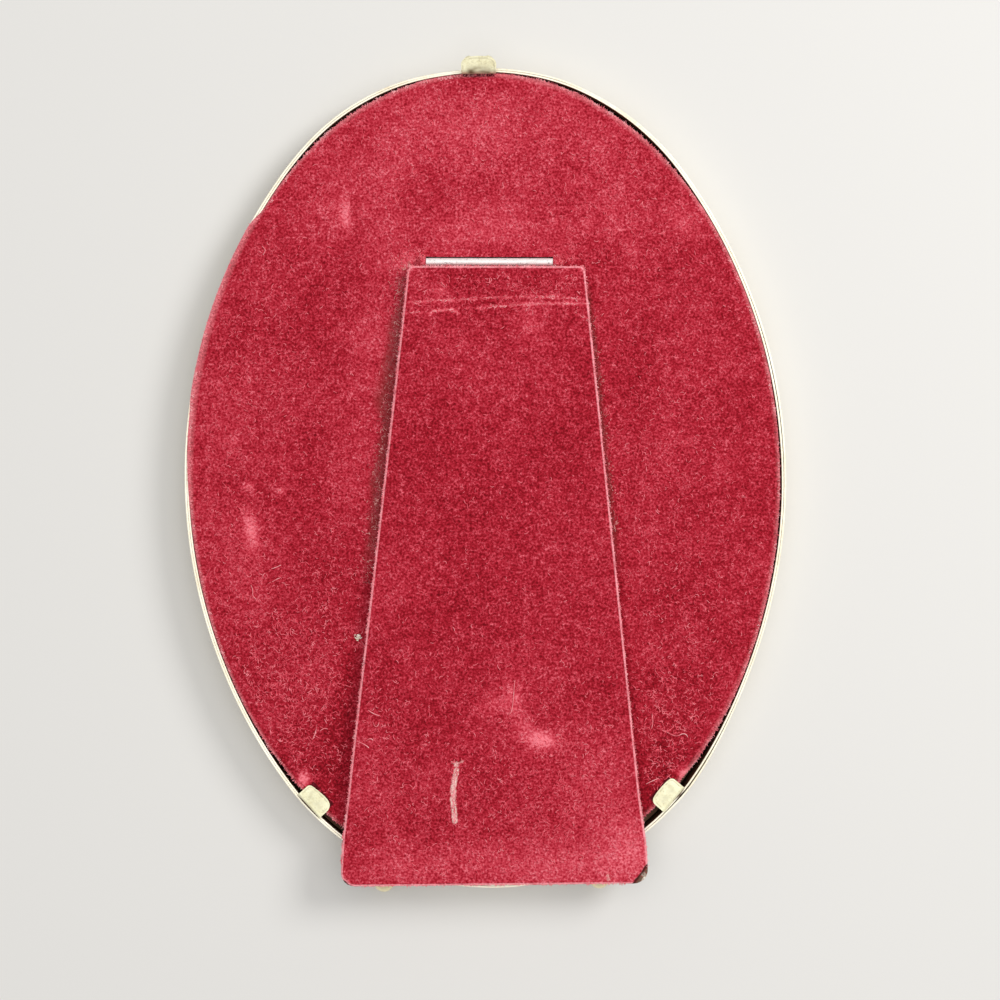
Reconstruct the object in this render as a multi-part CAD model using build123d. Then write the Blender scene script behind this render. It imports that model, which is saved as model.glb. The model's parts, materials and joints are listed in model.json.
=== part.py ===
from build123d import *
import math
import os

# An oval brass photo frame that lies on its front, seen from its velvet back.
# Z = 0 is the table under the front moulding, +Z points out of the back, +Y to the top tab,
# and the origin is the bottom centre of the whole frame's box. Lengths are millimetres.

# Rim oval, drawn with four arcs: half sizes of the outer wall
rim_half_width = 67.0
rim_half_length = 91.5

# Front moulding: one pressed sheet with a bevelled outer bead and a lip round the sight opening
sheet_thickness = 0.5
bead_height = 1.1
bead_land = 0.8
sight_inset = 7.4
sight_lip_width = 0.9
sight_lip_land = 0.45
sight_lip_drop = 0.5
skirt_height = 1.0

# Outer wall strip, whose ends meet in a soldered lap at the bottom
wall_thickness = 0.4
lap_width = 2.7
lap_offset = 3.6
seam_width = 0.15
seam_share = 0.25

# Inner band strip that carries the tabs
band_thickness = 0.4
band_gap = 0.1
lap_clearance = 0.2

# Tabs that fold over the back: one at the top, two near the feet
tab_reach_in = 0.42
tab_anchor = 0.5
tab_running_gap = 0.1
low_tab_width = 7.0
low_tab_length = 3.65
low_tab_corner_radius = 1.3
low_tab_angle = 41.3
top_tab_width = 7.9
top_tab_corner_radius = 1.8
top_tab_start_lean = -30.0
top_tab_bend_lean = 75.0
top_tab_end_lean = 85.0
top_tab_bend_radius = 1.3
top_tab_flat_length = 2.7

# Ball feet under the bottom of the rim
foot_spacing = 48.4
foot_ball_radius = 2.37
foot_below_rim = 1.1
foot_neck_radius = 1.15
foot_collar_radius = 1.75
foot_collar_height = 0.6
foot_collar_gap = 0.5

# What lies in the rim, from the sight edge to the back
pack_clearance = 0.4
glass_thickness = 1.6
picture_thickness = 0.3
packing_thickness = 2.3
lining_thickness = 0.2
board_thickness = 2.2
velvet_thickness = 0.6
velvet_wrap = 0.5
velvet_edge_bevel = 0.3
velvet_proud = 0.2
pile_gap = 0.2
back_side_gap = 0.7
back_end_gap = 1.3
back_shift_x = -0.15
back_shift_y = 0.45

# Knuckle hinge, set a little aside of the oval's axis and a little turned
hinge_height = 48.0
hinge_shift = 1.7
hinge_skew = 1.0
hinge_sheet = 0.4
pin_radius = 0.4
pin_running_gap = 0.04
pin_head_radius = 0.62
pin_head_length = 0.3
barrel_length = 28.2
ear_thickness = 0.5
ear_gap = 0.12
ear_round = 0.72
back_leaf_height = 8.4
strut_leaf_length = 10.5
leaf_corner_radius = 2.5
heel_length = 1.65
heel_inset = 0.6
open_angle = 30.0
stop_gap = 0.03
stop_lip_height = 0.8
slot_margin = 0.25
recess_gap = 0.05
rivet_radius = 0.8
rivet_head_radius = 1.7
rivet_head_height = 0.3
rivet_spacing = 15.0
rivet_from_pin = 5.4
rivet_gap = 0.04

# Strut: a tapered board that ends in short upright sides with round corners
strut_top_gap = 1.05
strut_foot_rise = 1.45
strut_top_margin = 5.8
strut_tab_gap = 2.11
strut_foot_flare = 0.5
strut_shoulder_height = 10.3
strut_corner_radius = 3.3
strut_top_corner_radius = 0.8
strut_shift = 1.2
strut_lining_thickness = 0.2
strut_lining_inset = 1.2
strut_board_thickness = 1.8
strut_velvet_thickness = 0.5
strut_velvet_wrap = 0.4

# Every cut runs past the faces that it opens by this much
overrun = 1.0

# Heights of the layers, worked out from the front to the back
seat_z = bead_height + sheet_thickness
glass_top = seat_z + glass_thickness
picture_top = glass_top + picture_thickness
packing_top = picture_top + packing_thickness
lining_top = packing_top + lining_thickness
board_top = lining_top + board_thickness
velvet_top = board_top + velvet_thickness
rim_top = velvet_top - velvet_proud
skirt_top = bead_height + skirt_height
strut_underside = velvet_top + pile_gap
strut_board_base = strut_underside + strut_lining_thickness
strut_board_top = strut_board_base + strut_board_thickness
strut_top = strut_board_top + strut_velvet_thickness

# Rim arcs by the chord rule for a four-arc oval, which sets both radii from the two half sizes
chord = math.hypot(rim_half_width, rim_half_length)
excess = rim_half_length - rim_half_width
rim_end_radius = (chord - excess) / 2 * chord / rim_half_length
rim_side_radius = (chord + excess) / 2 * chord / rim_half_width
end_centre = rim_half_length - rim_end_radius
side_centre = rim_side_radius - rim_half_width
join_angle = math.degrees(math.atan2(end_centre, side_centre))
rim_arcs = [
    ((-side_centre, 0), rim_side_radius, -join_angle, 2 * join_angle),
    ((0, end_centre), rim_end_radius, join_angle, 180 - 2 * join_angle),
    ((side_centre, 0), rim_side_radius, 180 - join_angle, 2 * join_angle),
    ((0, -end_centre), rim_end_radius, 180 + join_angle, 180 - 2 * join_angle),
]

# Insets from the rim's outer face, measured inwards along its normal
band_outer = wall_thickness + band_gap
band_inner = band_outer + band_thickness
pack_inset = band_inner + pack_clearance
back_half_width = rim_half_width - band_inner - back_side_gap
back_half_length = rim_half_length - band_inner - back_end_gap

# Tab hinge line: where a tab leans in over the velvet and folds, clear of the band's curve at its ends
tab_sagitta = top_tab_width**2 / (8 * rim_end_radius)
tab_root_n = band_outer + band_thickness / 2 + tab_sagitta
tab_axis_n = tab_root_n + tab_reach_in
tab_axis_z = velvet_top + pile_gap + band_thickness / 2
tab_gap_radius = band_thickness / 2 + tab_running_gap

# Hinge pin height: the strut leaf lies flat under the strut board and rolls up round the pin
barrel_radius = pin_radius + hinge_sheet
pin_z = strut_board_base + barrel_radius
bore_radius = pin_radius + pin_running_gap
ear_inner = barrel_length / 2 + ear_gap
ear_outer = ear_inner + ear_thickness
pin_end = ear_outer + pin_head_length
heel_rest_angle = open_angle - 90

# Strut outline: its sides pass between the corners of the low tabs
low_tab_lean = math.radians(low_tab_angle)
low_tab_far = rim_end_radius - tab_axis_n - low_tab_length
low_tab_corner = low_tab_far * math.cos(low_tab_lean) - low_tab_width / 2 * math.sin(low_tab_lean)
strut_shoulder_half = low_tab_corner - strut_tab_gap
strut_foot_half = strut_shoulder_half + strut_foot_flare
strut_top_half = barrel_length / 2 + strut_top_margin
strut_length = hinge_height - strut_top_gap + rim_half_length - strut_foot_rise


def lean_point(start, radius, lean_from, lean_to):
    # End of an arc whose lean from upright grows outwards, in inset and height
    turn_from = math.radians(lean_from)
    turn_to = math.radians(lean_to)
    inset = start[0] + radius * (math.cos(turn_to) - math.cos(turn_from))
    height = start[1] + radius * (math.sin(turn_to) - math.sin(turn_from))
    return (inset, height)


top_tab_root = (tab_axis_n, tab_axis_z)
top_tab_bend_end = lean_point(top_tab_root, top_tab_bend_radius, top_tab_start_lean, top_tab_bend_lean)
top_tab_flat_radius = top_tab_flat_length / math.radians(top_tab_end_lean - top_tab_bend_lean)
top_tab_tip = lean_point(top_tab_bend_end, top_tab_flat_radius, top_tab_bend_lean, top_tab_end_lean)
top_tab_corner_n = top_tab_tip[0] - band_thickness / 2 * math.cos(math.radians(top_tab_end_lean))

# The oval's centre stands where the whole frame's box is centred lengthways
foot_centre_y = -(rim_half_length + foot_below_rim - foot_ball_radius)
top_reach = rim_half_length - top_tab_corner_n
bottom_reach = rim_half_length + foot_below_rim
oval_centre_y = (bottom_reach - top_reach) / 2
to_row = Pos(0, oval_centre_y, 0)
to_back = to_row * Pos(back_shift_x, back_shift_y, 0)
to_hinge = to_row * Pos(hinge_shift, hinge_height, 0) * Rot(0, 0, -hinge_skew)
to_strut = to_hinge * Pos(strut_shift, 0, 0)


def slab(face, base, top):
    # A flat piece with the face's outline between two heights
    return Pos(0, 0, base) * extrude(face, top - base)


def oval_face(inset):
    # The rim's oval, moved inwards
    arcs = Curve()
    for centre, radius, start, sweep in rim_arcs:
        arcs += CenterArc(centre, radius - inset, start, sweep)
    return make_face(arcs)


def section_box(radius, inset_from, inset_to, base, top):
    # Upright rectangle of a ring's section, at a distance from an arc's centre
    place = Plane.XZ * Pos(radius - (inset_from + inset_to) / 2, (base + top) / 2)
    return place * Rectangle(inset_to - inset_from, top - base)


def oval_ring(section):
    # Turns a section about the centre of each of the rim's arcs and joins the four stretches
    ring = Part()
    for centre, radius, start, sweep in rim_arcs:
        stretch = revolve(section(radius), axis=Axis.Z, revolution_arc=sweep)
        ring += Pos(*centre, 0) * Rot(0, 0, start) * stretch
    return ring


def bent_strip(points, thickness):
    # Sheet metal seen on edge: straight runs with round bends between them
    strip = Sketch()
    for start, end in zip(points, points[1:]):
        run = math.dist(start, end)
        angle = math.degrees(math.atan2(end[1] - start[1], end[0] - start[0]))
        strip += Pos(*start) * Rot(0, 0, angle) * Pos(run / 2, 0) * Rectangle(run, thickness)
    for point in points[1:]:
        strip += Pos(*point) * Circle(thickness / 2)
    return strip


def moulding_section(radius):
    # Pressed sheet seen on edge: skirt, bevelled bead with a flat land, web, and a lip at the sight edge
    land_start = wall_thickness + bead_height
    web_start = land_start + bead_land + bead_height
    lip_low = bead_height - sight_lip_drop
    outside = [
        (wall_thickness, skirt_top),
        (wall_thickness, bead_height),
        (land_start, 0),
        (land_start + bead_land, 0),
        (web_start, bead_height),
        (sight_inset - sight_lip_width, bead_height),
        (sight_inset - sight_lip_land, lip_low),
        (sight_inset, lip_low),
    ]
    corner_shift = sheet_thickness * math.tan(math.radians(45) / 2)
    inside = [
        (sight_inset, seat_z),
        (web_start - corner_shift, seat_z),
        (land_start + bead_land - corner_shift, sheet_thickness),
        (land_start + corner_shift, sheet_thickness),
        (wall_thickness + sheet_thickness, bead_height + corner_shift),
        (wall_thickness + sheet_thickness, skirt_top),
    ]
    corners = [(radius - inset, height) for inset, height in outside + inside]
    return Plane.XZ * make_face(Polyline(corners, close=True))


def front_moulding():
    return oval_ring(moulding_section)


def lap_window(offset, width, low, high):
    # A window at the bottom of the rim, deep enough to pass through wall and band
    depth = 2 * (band_inner + overrun)
    return Pos(offset, -rim_half_length, (low + high) / 2) * Box(width, depth, high - low)


def lap_block(inset_from, inset_to, width):
    # A stretch of ring at the lap, cut out by its width along the bottom of the rim
    def lap_section(radius):
        return section_box(radius, inset_from, inset_to, bead_height, rim_top)

    return oval_ring(lap_section) & lap_window(lap_offset, width, 0, rim_top + overrun)


def outer_wall():
    # The strip's lower edge hugs the bead's side, and one end laps inside the other
    def wall_section(radius):
        return section_box(radius, 0, wall_thickness, bead_height, rim_top)

    wall = oval_ring(wall_section)
    lap = lap_block(wall_thickness, wall_thickness + band_gap + band_thickness, lap_width)
    lap -= lap_window(lap_offset, lap_width + overrun, 0, skirt_top)
    seam = lap_window(lap_offset - seam_share * lap_width, seam_width, 0, rim_top + overrun)
    return (wall - seam) + lap


def tab_place(centre_y, outward_angle):
    # Local frame on an end arc: X along the rim, Y inwards from its outer face, Z up
    outward = math.radians(outward_angle)
    x = rim_end_radius * math.cos(outward)
    y = centre_y + rim_end_radius * math.sin(outward)
    return Pos(x, y, 0) * Rot(0, 0, outward_angle + 90)


tab_places = {
    "top_tab": tab_place(end_centre, 90),
    "left_tab": tab_place(-end_centre, 180 + low_tab_angle),
    "right_tab": tab_place(-end_centre, -low_tab_angle),
}
tab_widths = {
    "top_tab": top_tab_width,
    "left_tab": low_tab_width,
    "right_tab": low_tab_width,
}


def inner_band():
    # The band stands on the moulding's skirt, and each tab's root leans in from its top edge
    def band_section(radius):
        return section_box(radius, band_outer, band_inner, skirt_top, rim_top)

    band = oval_ring(band_section)
    band -= lap_window(lap_offset, lap_width + 2 * lap_clearance, 0, rim_top + overrun)
    root_points = [
        (tab_root_n, rim_top - tab_anchor),
        (tab_root_n, rim_top),
        (tab_axis_n, tab_axis_z),
    ]
    root_profile = Plane.YZ * bent_strip(root_points, band_thickness)
    for name, place in tab_places.items():
        band += place * extrude(root_profile, tab_widths[name] / 2, both=True)
    return band


def low_tab():
    # Flat tab folded over the velvet, hollowed at its root to turn about the root's round end
    middle = Pos(tab_axis_n + low_tab_length / 2, tab_axis_z)
    profile = middle * Rectangle(low_tab_length, band_thickness)
    profile -= Pos(tab_axis_n, tab_axis_z) * Circle(tab_gap_radius)
    tab = extrude(Plane.YZ * profile, low_tab_width / 2, both=True)
    far_edges = tab.edges().filter_by(Axis.Z).group_by(Axis.Y)[-1]
    return fillet(far_edges, low_tab_corner_radius)


def offset_arc(start, radius, lean_from, lean_to, side):
    # One face of a bent tab: an arc beside the tab's middle line
    bend_centre = (
        start[0] - radius * math.cos(math.radians(lean_from)),
        start[1] - radius * math.sin(math.radians(lean_from)),
    )
    face_radius = radius + side * band_thickness / 2
    return CenterArc(bend_centre, face_radius, lean_from, lean_to - lean_from)


def top_tab():
    # Tab bent open: it rises from its root and curls outwards over the rim
    inner_bend = offset_arc(top_tab_root, top_tab_bend_radius, top_tab_start_lean, top_tab_bend_lean, 1)
    outer_bend = offset_arc(top_tab_root, top_tab_bend_radius, top_tab_start_lean, top_tab_bend_lean, -1)
    inner_flat = offset_arc(top_tab_bend_end, top_tab_flat_radius, top_tab_bend_lean, top_tab_end_lean, 1)
    outer_flat = offset_arc(top_tab_bend_end, top_tab_flat_radius, top_tab_bend_lean, top_tab_end_lean, -1)
    root_line = Line(outer_bend @ 0, inner_bend @ 0)
    tip_line = Line(inner_flat @ 1, outer_flat @ 1)
    profile = make_face(Curve() + [inner_bend, inner_flat, tip_line, outer_flat, outer_bend, root_line])
    profile -= Pos(*top_tab_root) * Circle(tab_gap_radius)
    tab = extrude(Plane.YZ * profile, top_tab_width / 2, both=True)
    tip_face = tab.faces().sort_by(Axis.Y)[0]
    return fillet(tip_face.edges().filter_by(Axis.X, reverse=True), top_tab_corner_radius)


def foot(side):
    # Turned foot: a ball on a neck with a collar, coped to the wall above it
    neck_length = -foot_centre_y
    collar_middle = foot_ball_radius + foot_collar_gap + foot_collar_height / 2
    profile = Circle(foot_ball_radius)
    profile += Pos(0, neck_length / 2) * Rectangle(2 * foot_neck_radius, neck_length)
    profile += Pos(0, collar_middle) * Rectangle(2 * foot_collar_radius, foot_collar_height)
    half = Pos(neck_length, 0) * Rectangle(2 * neck_length, 2 * neck_length + overrun)
    turned = revolve(profile & half, axis=Axis.Y)
    placed = Pos(side * foot_spacing / 2, foot_centre_y, rim_top / 2) * turned
    return placed - slab(oval_face(0), -overrun, rim_top + overrun)


def back_face(inset):
    return Ellipse(back_half_width - inset, back_half_length - inset)


def hinge_in_back():
    # The hinge's place in the back board's own frame
    return Pos(hinge_shift - back_shift_x, hinge_height - back_shift_y, 0) * Rot(0, 0, -hinge_skew)


def box_between(low, high):
    # A box from its lowest to its highest corner
    size = [high[i] - low[i] for i in range(3)]
    middle = [(high[i] + low[i]) / 2 for i in range(3)]
    return Pos(*middle) * Box(*size)


# The stop lip faces the heel when the heel stands upright
lip_face = -(hinge_sheet / 2 + stop_gap)
lip_outer = lip_face - hinge_sheet
leaf_base = board_top - hinge_sheet
rivet_places = [Pos(side * rivet_spacing / 2, 0, 0) for side in (-1, 1)]


def back_leaf():
    # Plate let into the back board, with an ear at each end of the pin and a stop lip between
    plate = box_between((-ear_outer, lip_outer, leaf_base), (ear_outer, back_leaf_height, board_top))
    corners = plate.edges().filter_by(Axis.Z).group_by(Axis.Y)[-1]
    leaf = fillet(corners, leaf_corner_radius)
    lip_half = barrel_length / 2 - heel_inset
    leaf += box_between((-lip_half, lip_outer, leaf_base), (lip_half, lip_face, board_top + stop_lip_height))
    ear_height = pin_z - leaf_base
    ear = Pos(0, leaf_base + ear_height / 2) * Rectangle(2 * ear_round, ear_height)
    ear += Pos(0, pin_z) * Circle(ear_round)
    ear -= Pos(0, pin_z) * Circle(bore_radius)
    for start in (ear_inner, -ear_outer):
        leaf += Pos(start, 0, 0) * extrude(Plane.YZ * ear, ear_thickness)
    for place in rivet_places:
        hole = place * Pos(0, rivet_from_pin, board_top)
        leaf -= hole * Cylinder(rivet_radius + rivet_gap, 2 * hinge_sheet + overrun)
    return leaf


def hinge_pin():
    pin = Cylinder(pin_radius, 2 * pin_end)
    for side in (-1, 1):
        pin += Pos(0, 0, side * (ear_outer + pin_head_length / 2)) * Cylinder(pin_head_radius, pin_head_length)
    return Pos(0, 0, pin_z) * Rot(0, 90, 0) * pin


def strut_leaf():
    # One sheet rolled round the pin: a flat leaf under the strut board, and a heel that stops it
    flat_low = (-barrel_length / 2, -strut_leaf_length, strut_board_base)
    flat = box_between(flat_low, (barrel_length / 2, 0, strut_board_base + hinge_sheet))
    corners = flat.edges().filter_by(Axis.Z).group_by(Axis.Y)[0]
    leaf = fillet(corners, leaf_corner_radius)
    axis_place = Plane.YZ * Pos(0, pin_z)
    leaf += extrude(axis_place * Circle(barrel_radius), barrel_length / 2, both=True)
    heel_run = Pos((heel_length + bore_radius) / 2, 0)
    heel = Rot(0, 0, heel_rest_angle) * heel_run * Rectangle(heel_length - bore_radius, hinge_sheet)
    leaf += extrude(axis_place * heel, barrel_length / 2 - heel_inset, both=True)
    leaf -= Pos(0, 0, pin_z) * Rot(0, 90, 0) * Cylinder(bore_radius, barrel_length + overrun)
    for place in rivet_places:
        hole = place * Pos(0, -rivet_from_pin, strut_board_base)
        leaf -= hole * Cylinder(rivet_radius + rivet_gap, 2 * hinge_sheet + overrun)
    return leaf


def rivets(centre_y, low, high, head_low, grow=0, reach=0):
    # Two rivets whose shanks run from low to high with the head at one end, or the room for them
    head_middle = low + rivet_head_height / 2 if head_low else high - rivet_head_height / 2
    rivet = Pos(0, centre_y, (low + high) / 2) * Cylinder(rivet_radius + grow, high - low + reach)
    rivet += Pos(0, centre_y, head_middle) * Cylinder(rivet_head_radius + grow, rivet_head_height)
    return [place * rivet for place in rivet_places]


slot_half = ear_outer + slot_margin
heel_reach = heel_length * math.cos(math.radians(heel_rest_angle)) + hinge_sheet / 2
slot_top = heel_reach + slot_margin
slot_bottom = -ear_round - slot_margin


def back_board():
    board = slab(back_face(velvet_wrap), lining_top, board_top)
    foot_of_ears = max(ear_round, -lip_outer)
    recess = box_between(
        (-ear_outer - recess_gap, -foot_of_ears - recess_gap, leaf_base),
        (ear_outer + recess_gap, back_leaf_height + recess_gap, board_top + overrun),
    )
    place = hinge_in_back()
    board -= place * recess
    for hole in rivets(rivet_from_pin, lining_top, board_top, True, rivet_gap, overrun):
        board -= place * hole
    return board


def back_velvet():
    # Cloth drawn over the board and down its edge, slit for the hinge
    cover = slab(back_face(0), lining_top, velvet_top)
    cover = chamfer(cover.edges().group_by(Axis.Z)[-1], velvet_edge_bevel)
    cover -= slab(back_face(velvet_wrap), lining_top - overrun, board_top)
    slit_low = (-slot_half, slot_bottom, board_top - overrun)
    slit = box_between(slit_low, (slot_half, slot_top, velvet_top + overrun))
    return cover - hinge_in_back() * slit


def strut_outline(inset):
    # Trapezium with short upright sides, from its top edge down to its foot
    top = -strut_top_gap
    foot_y = top - strut_length
    shoulder_y = foot_y + strut_shoulder_height
    half_points = [
        (strut_top_half, top),
        (strut_shoulder_half, shoulder_y),
        (strut_foot_half, foot_y),
    ]
    points = half_points + [(-x, y) for x, y in reversed(half_points)]
    outline = make_face(Polyline(points, close=True))
    foot_corners = outline.vertices().group_by(Axis.Y)[0]
    outline = fillet(foot_corners, strut_corner_radius)
    top_corners = outline.vertices().group_by(Axis.Y)[-1]
    outline = fillet(top_corners, strut_top_corner_radius)
    return offset(outline, -inset, kind=Kind.INTERSECTION) if inset else outline


def leaf_passage():
    # Room for the strut leaf under the strut board, open at its top edge
    half = barrel_length / 2 + recess_gap
    low = (-half - strut_shift, -strut_leaf_length - recess_gap, strut_board_base - overrun)
    high = (half - strut_shift, 0, strut_board_base + hinge_sheet)
    return box_between(low, high)


def strut_board():
    board = slab(strut_outline(strut_velvet_wrap), strut_board_base, strut_board_top)
    board -= leaf_passage()
    for hole in rivets(-rivet_from_pin, strut_board_base, strut_board_top, False, rivet_gap, overrun):
        board -= Pos(-strut_shift, 0, 0) * hole
    return board


def strut_velvet():
    # Cloth over the strut's face and round all its edges
    cover = slab(strut_outline(0), strut_board_base, strut_top)
    cover = chamfer(cover.edges().group_by(Axis.Z)[-1], velvet_edge_bevel)
    cover -= slab(strut_outline(strut_velvet_wrap), strut_board_base - overrun, strut_board_top)
    return cover - leaf_passage()


def strut_lining():
    return slab(strut_outline(strut_lining_inset), strut_underside, strut_board_base)


back_rivets = rivets(rivet_from_pin, lining_top, board_top, True)
strut_rivets = rivets(-rivet_from_pin, strut_board_base, strut_board_top, False)

nodes = {
    "front_moulding": to_row * front_moulding(),
    "outer_wall": to_row * outer_wall(),
    "inner_band": to_row * inner_band(),
    "top_tab": to_row * tab_places["top_tab"] * top_tab(),
    "left_tab": to_row * tab_places["left_tab"] * low_tab(),
    "right_tab": to_row * tab_places["right_tab"] * low_tab(),
    "left_foot": to_row * foot(-1),
    "right_foot": to_row * foot(1),
    "glass": to_row * slab(oval_face(pack_inset), seat_z, glass_top),
    "picture_card": to_row * slab(oval_face(pack_inset), glass_top, picture_top),
    "packing_card": to_row * slab(oval_face(pack_inset), picture_top, packing_top),
    "back_lining": to_back * slab(back_face(velvet_wrap), packing_top, lining_top),
    "back_board": to_back * back_board(),
    "back_velvet": to_back * back_velvet(),
    "hinge_back_leaf": to_hinge * back_leaf(),
    "hinge_back_rivets": to_hinge * Compound(back_rivets),
    "hinge_pin": to_hinge * hinge_pin(),
    "hinge_strut_leaf": to_hinge * strut_leaf(),
    "hinge_strut_rivets": to_hinge * Compound(strut_rivets),
    "strut_board": to_strut * strut_board(),
    "strut_lining": to_strut * strut_lining(),
    "strut_velvet": to_strut * strut_velvet(),
}

os.makedirs("parts", exist_ok=True)
for name, shape in nodes.items():
    export_step(shape, f"parts/{name}.step")
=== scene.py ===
import bmesh
import bpy
import json
import math
import random
from mathutils import Matrix, Vector, noise


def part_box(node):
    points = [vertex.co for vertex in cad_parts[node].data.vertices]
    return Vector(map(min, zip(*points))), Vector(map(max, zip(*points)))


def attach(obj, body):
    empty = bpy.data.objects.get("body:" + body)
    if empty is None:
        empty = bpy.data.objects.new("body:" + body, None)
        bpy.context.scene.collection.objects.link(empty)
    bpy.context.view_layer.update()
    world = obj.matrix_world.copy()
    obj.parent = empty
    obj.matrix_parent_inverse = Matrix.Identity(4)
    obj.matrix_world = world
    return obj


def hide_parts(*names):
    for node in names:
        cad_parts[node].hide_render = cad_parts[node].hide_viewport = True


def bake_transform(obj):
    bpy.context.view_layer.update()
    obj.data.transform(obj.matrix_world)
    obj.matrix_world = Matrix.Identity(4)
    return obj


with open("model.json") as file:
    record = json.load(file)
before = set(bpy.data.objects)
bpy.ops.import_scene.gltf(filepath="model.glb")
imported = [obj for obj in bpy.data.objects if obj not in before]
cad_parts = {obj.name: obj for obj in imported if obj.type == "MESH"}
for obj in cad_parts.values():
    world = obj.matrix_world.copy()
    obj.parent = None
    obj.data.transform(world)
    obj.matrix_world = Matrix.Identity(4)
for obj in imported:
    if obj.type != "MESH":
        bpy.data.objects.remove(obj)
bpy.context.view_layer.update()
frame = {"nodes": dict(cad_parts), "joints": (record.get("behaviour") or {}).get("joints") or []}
nodes = frame["nodes"]
joints = {joint["name"]: joint for joint in frame["joints"]}
mm = 0.001
up = Vector((0, 0, 1))
print("frame loaded")

# The photograph's camera, straight above the velvet back
shot = {
    "x": 3.22 * mm,
    "y": -5.48 * mm,
    "height": 458.6 * mm,
    "turn": math.radians(-0.9),
    "lens": 72.7,
    "sensor": 36.0,
    "pixels": 1000,
}


def fromPhoto(u, v, height):  # a pixel of the photograph, as a point of the frame at a height
    field = shot["sensor"] / shot["lens"] * (shot["height"] - height)
    across = (u / shot["pixels"] - 0.5) * field
    along = (0.5 - v / shot["pixels"]) * field
    offset = Matrix.Rotation(shot["turn"], 3, "Z") @ Vector((across, along, 0))
    return Vector((shot["x"] + offset.x, shot["y"] + offset.y, height))


# Small tools for materials
def rgb(red, green, blue):  # a screen colour as the shader wants it
    def channel(value):
        share = value / 255
        return share / 12.92 if share <= 0.04045 else ((share + 0.055) / 1.055) ** 2.4
    return (channel(red), channel(green), channel(blue), 1)


def newMaterial(name):
    material = bpy.data.materials.new(name)
    material.use_nodes = True
    tree = material.node_tree
    return material, tree, tree.nodes["Principled BSDF"]


def addNode(tree, kind, inputs=None, **settings):
    node = tree.nodes.new("ShaderNode" + kind)
    for key, value in settings.items():
        setattr(node, key, value)
    setInputs(tree, node, inputs or {})
    return node


def setInputs(tree, node, inputs):
    for key, value in inputs.items():
        if isinstance(value, bpy.types.NodeSocket):
            tree.links.new(value, node.inputs[key])
        else:
            node.inputs[key].default_value = value


def objectPlace(tree):
    return addNode(tree, "TexCoord").outputs["Object"]


def grain(tree, place, size, detail=3.0, rough=0.55, output="Fac"):
    inputs = {"Vector": place, "Scale": 1 / size, "Detail": detail, "Roughness": rough}
    return addNode(tree, "TexNoise", inputs).outputs[output]


def sums(tree, operation, *values):
    return addNode(tree, "Math", dict(enumerate(values)), operation=operation).outputs[0]


def between(tree, value, low, high, newLow=0.0, newHigh=1.0):
    inputs = {"Value": value, "From Min": low, "From Max": high, "To Min": newLow, "To Max": newHigh}
    return addNode(tree, "MapRange", inputs).outputs[0]


def ramp(tree, factor, stops):
    node = addNode(tree, "ValToRGB", {"Fac": factor})
    elements = node.color_ramp.elements
    while len(elements) < len(stops):
        elements.new(0.5)
    for element, (position, colour) in zip(elements, stops):
        element.position = position
        element.color = colour
    return node.outputs["Color"]


def mixed(tree, factor, first, second, blend="MIX"):
    node = addNode(tree, "Mix", {0: factor, 6: first, 7: second}, data_type="RGBA", blend_type=blend)
    return node.outputs[2]


def bumped(tree, height, strength, distance, under=None):
    inputs = {"Height": height, "Strength": strength, "Distance": distance}
    if under is not None:
        inputs["Normal"] = under
    return addNode(tree, "Bump", inputs).outputs["Normal"]


def painted(tree, name):  # a value kept on the piece's own points
    return addNode(tree, "Attribute", attribute_name=name).outputs["Fac"]


# Crimson pile: specks and short wormy lines of tufts, partly the pile's own tone and partly a painted sheen
# on lit tips; pale edges, partly worn and partly a painted highlight on the turned edge; dust and bare
# places; painted shade down the hanging edges and round the tabs, and darker worn corners
crimsonPile = {
    "deep": rgb(104, 2, 14),
    "shade": rgb(140, 10, 26),
    "body": rgb(172, 30, 48),
    "lit": rgb(206, 66, 82),
    "fluff": rgb(246, 126, 138),
    "frayAndHighlight": rgb(250, 164, 170),
    "dust": rgb(112, 70, 62),
    "bare": rgb(104, 84, 66),
    "scuff": rgb(236, 226, 208),
    "paintedShadeAndDark": rgb(64, 6, 14),
    "speckSize": 0.52 * mm,
    "wormSize": 0.85 * mm,
    "wormWidth": 0.06,
    "clumpSize": 1.9 * mm,
    "cloudSize": 12 * mm,
    "bend": 0.45 * mm,
    "bumpHeight": 0.12 * mm,
    "sheen": 0.1,
    "toneShift": -0.41,
    "toneShares": (1.4, 0.4, 0.35, 0.36, 0.3),  # specks, clumps, clouds, worms, and the painted tone of the pile, which holds painted light and shade too
}


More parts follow.
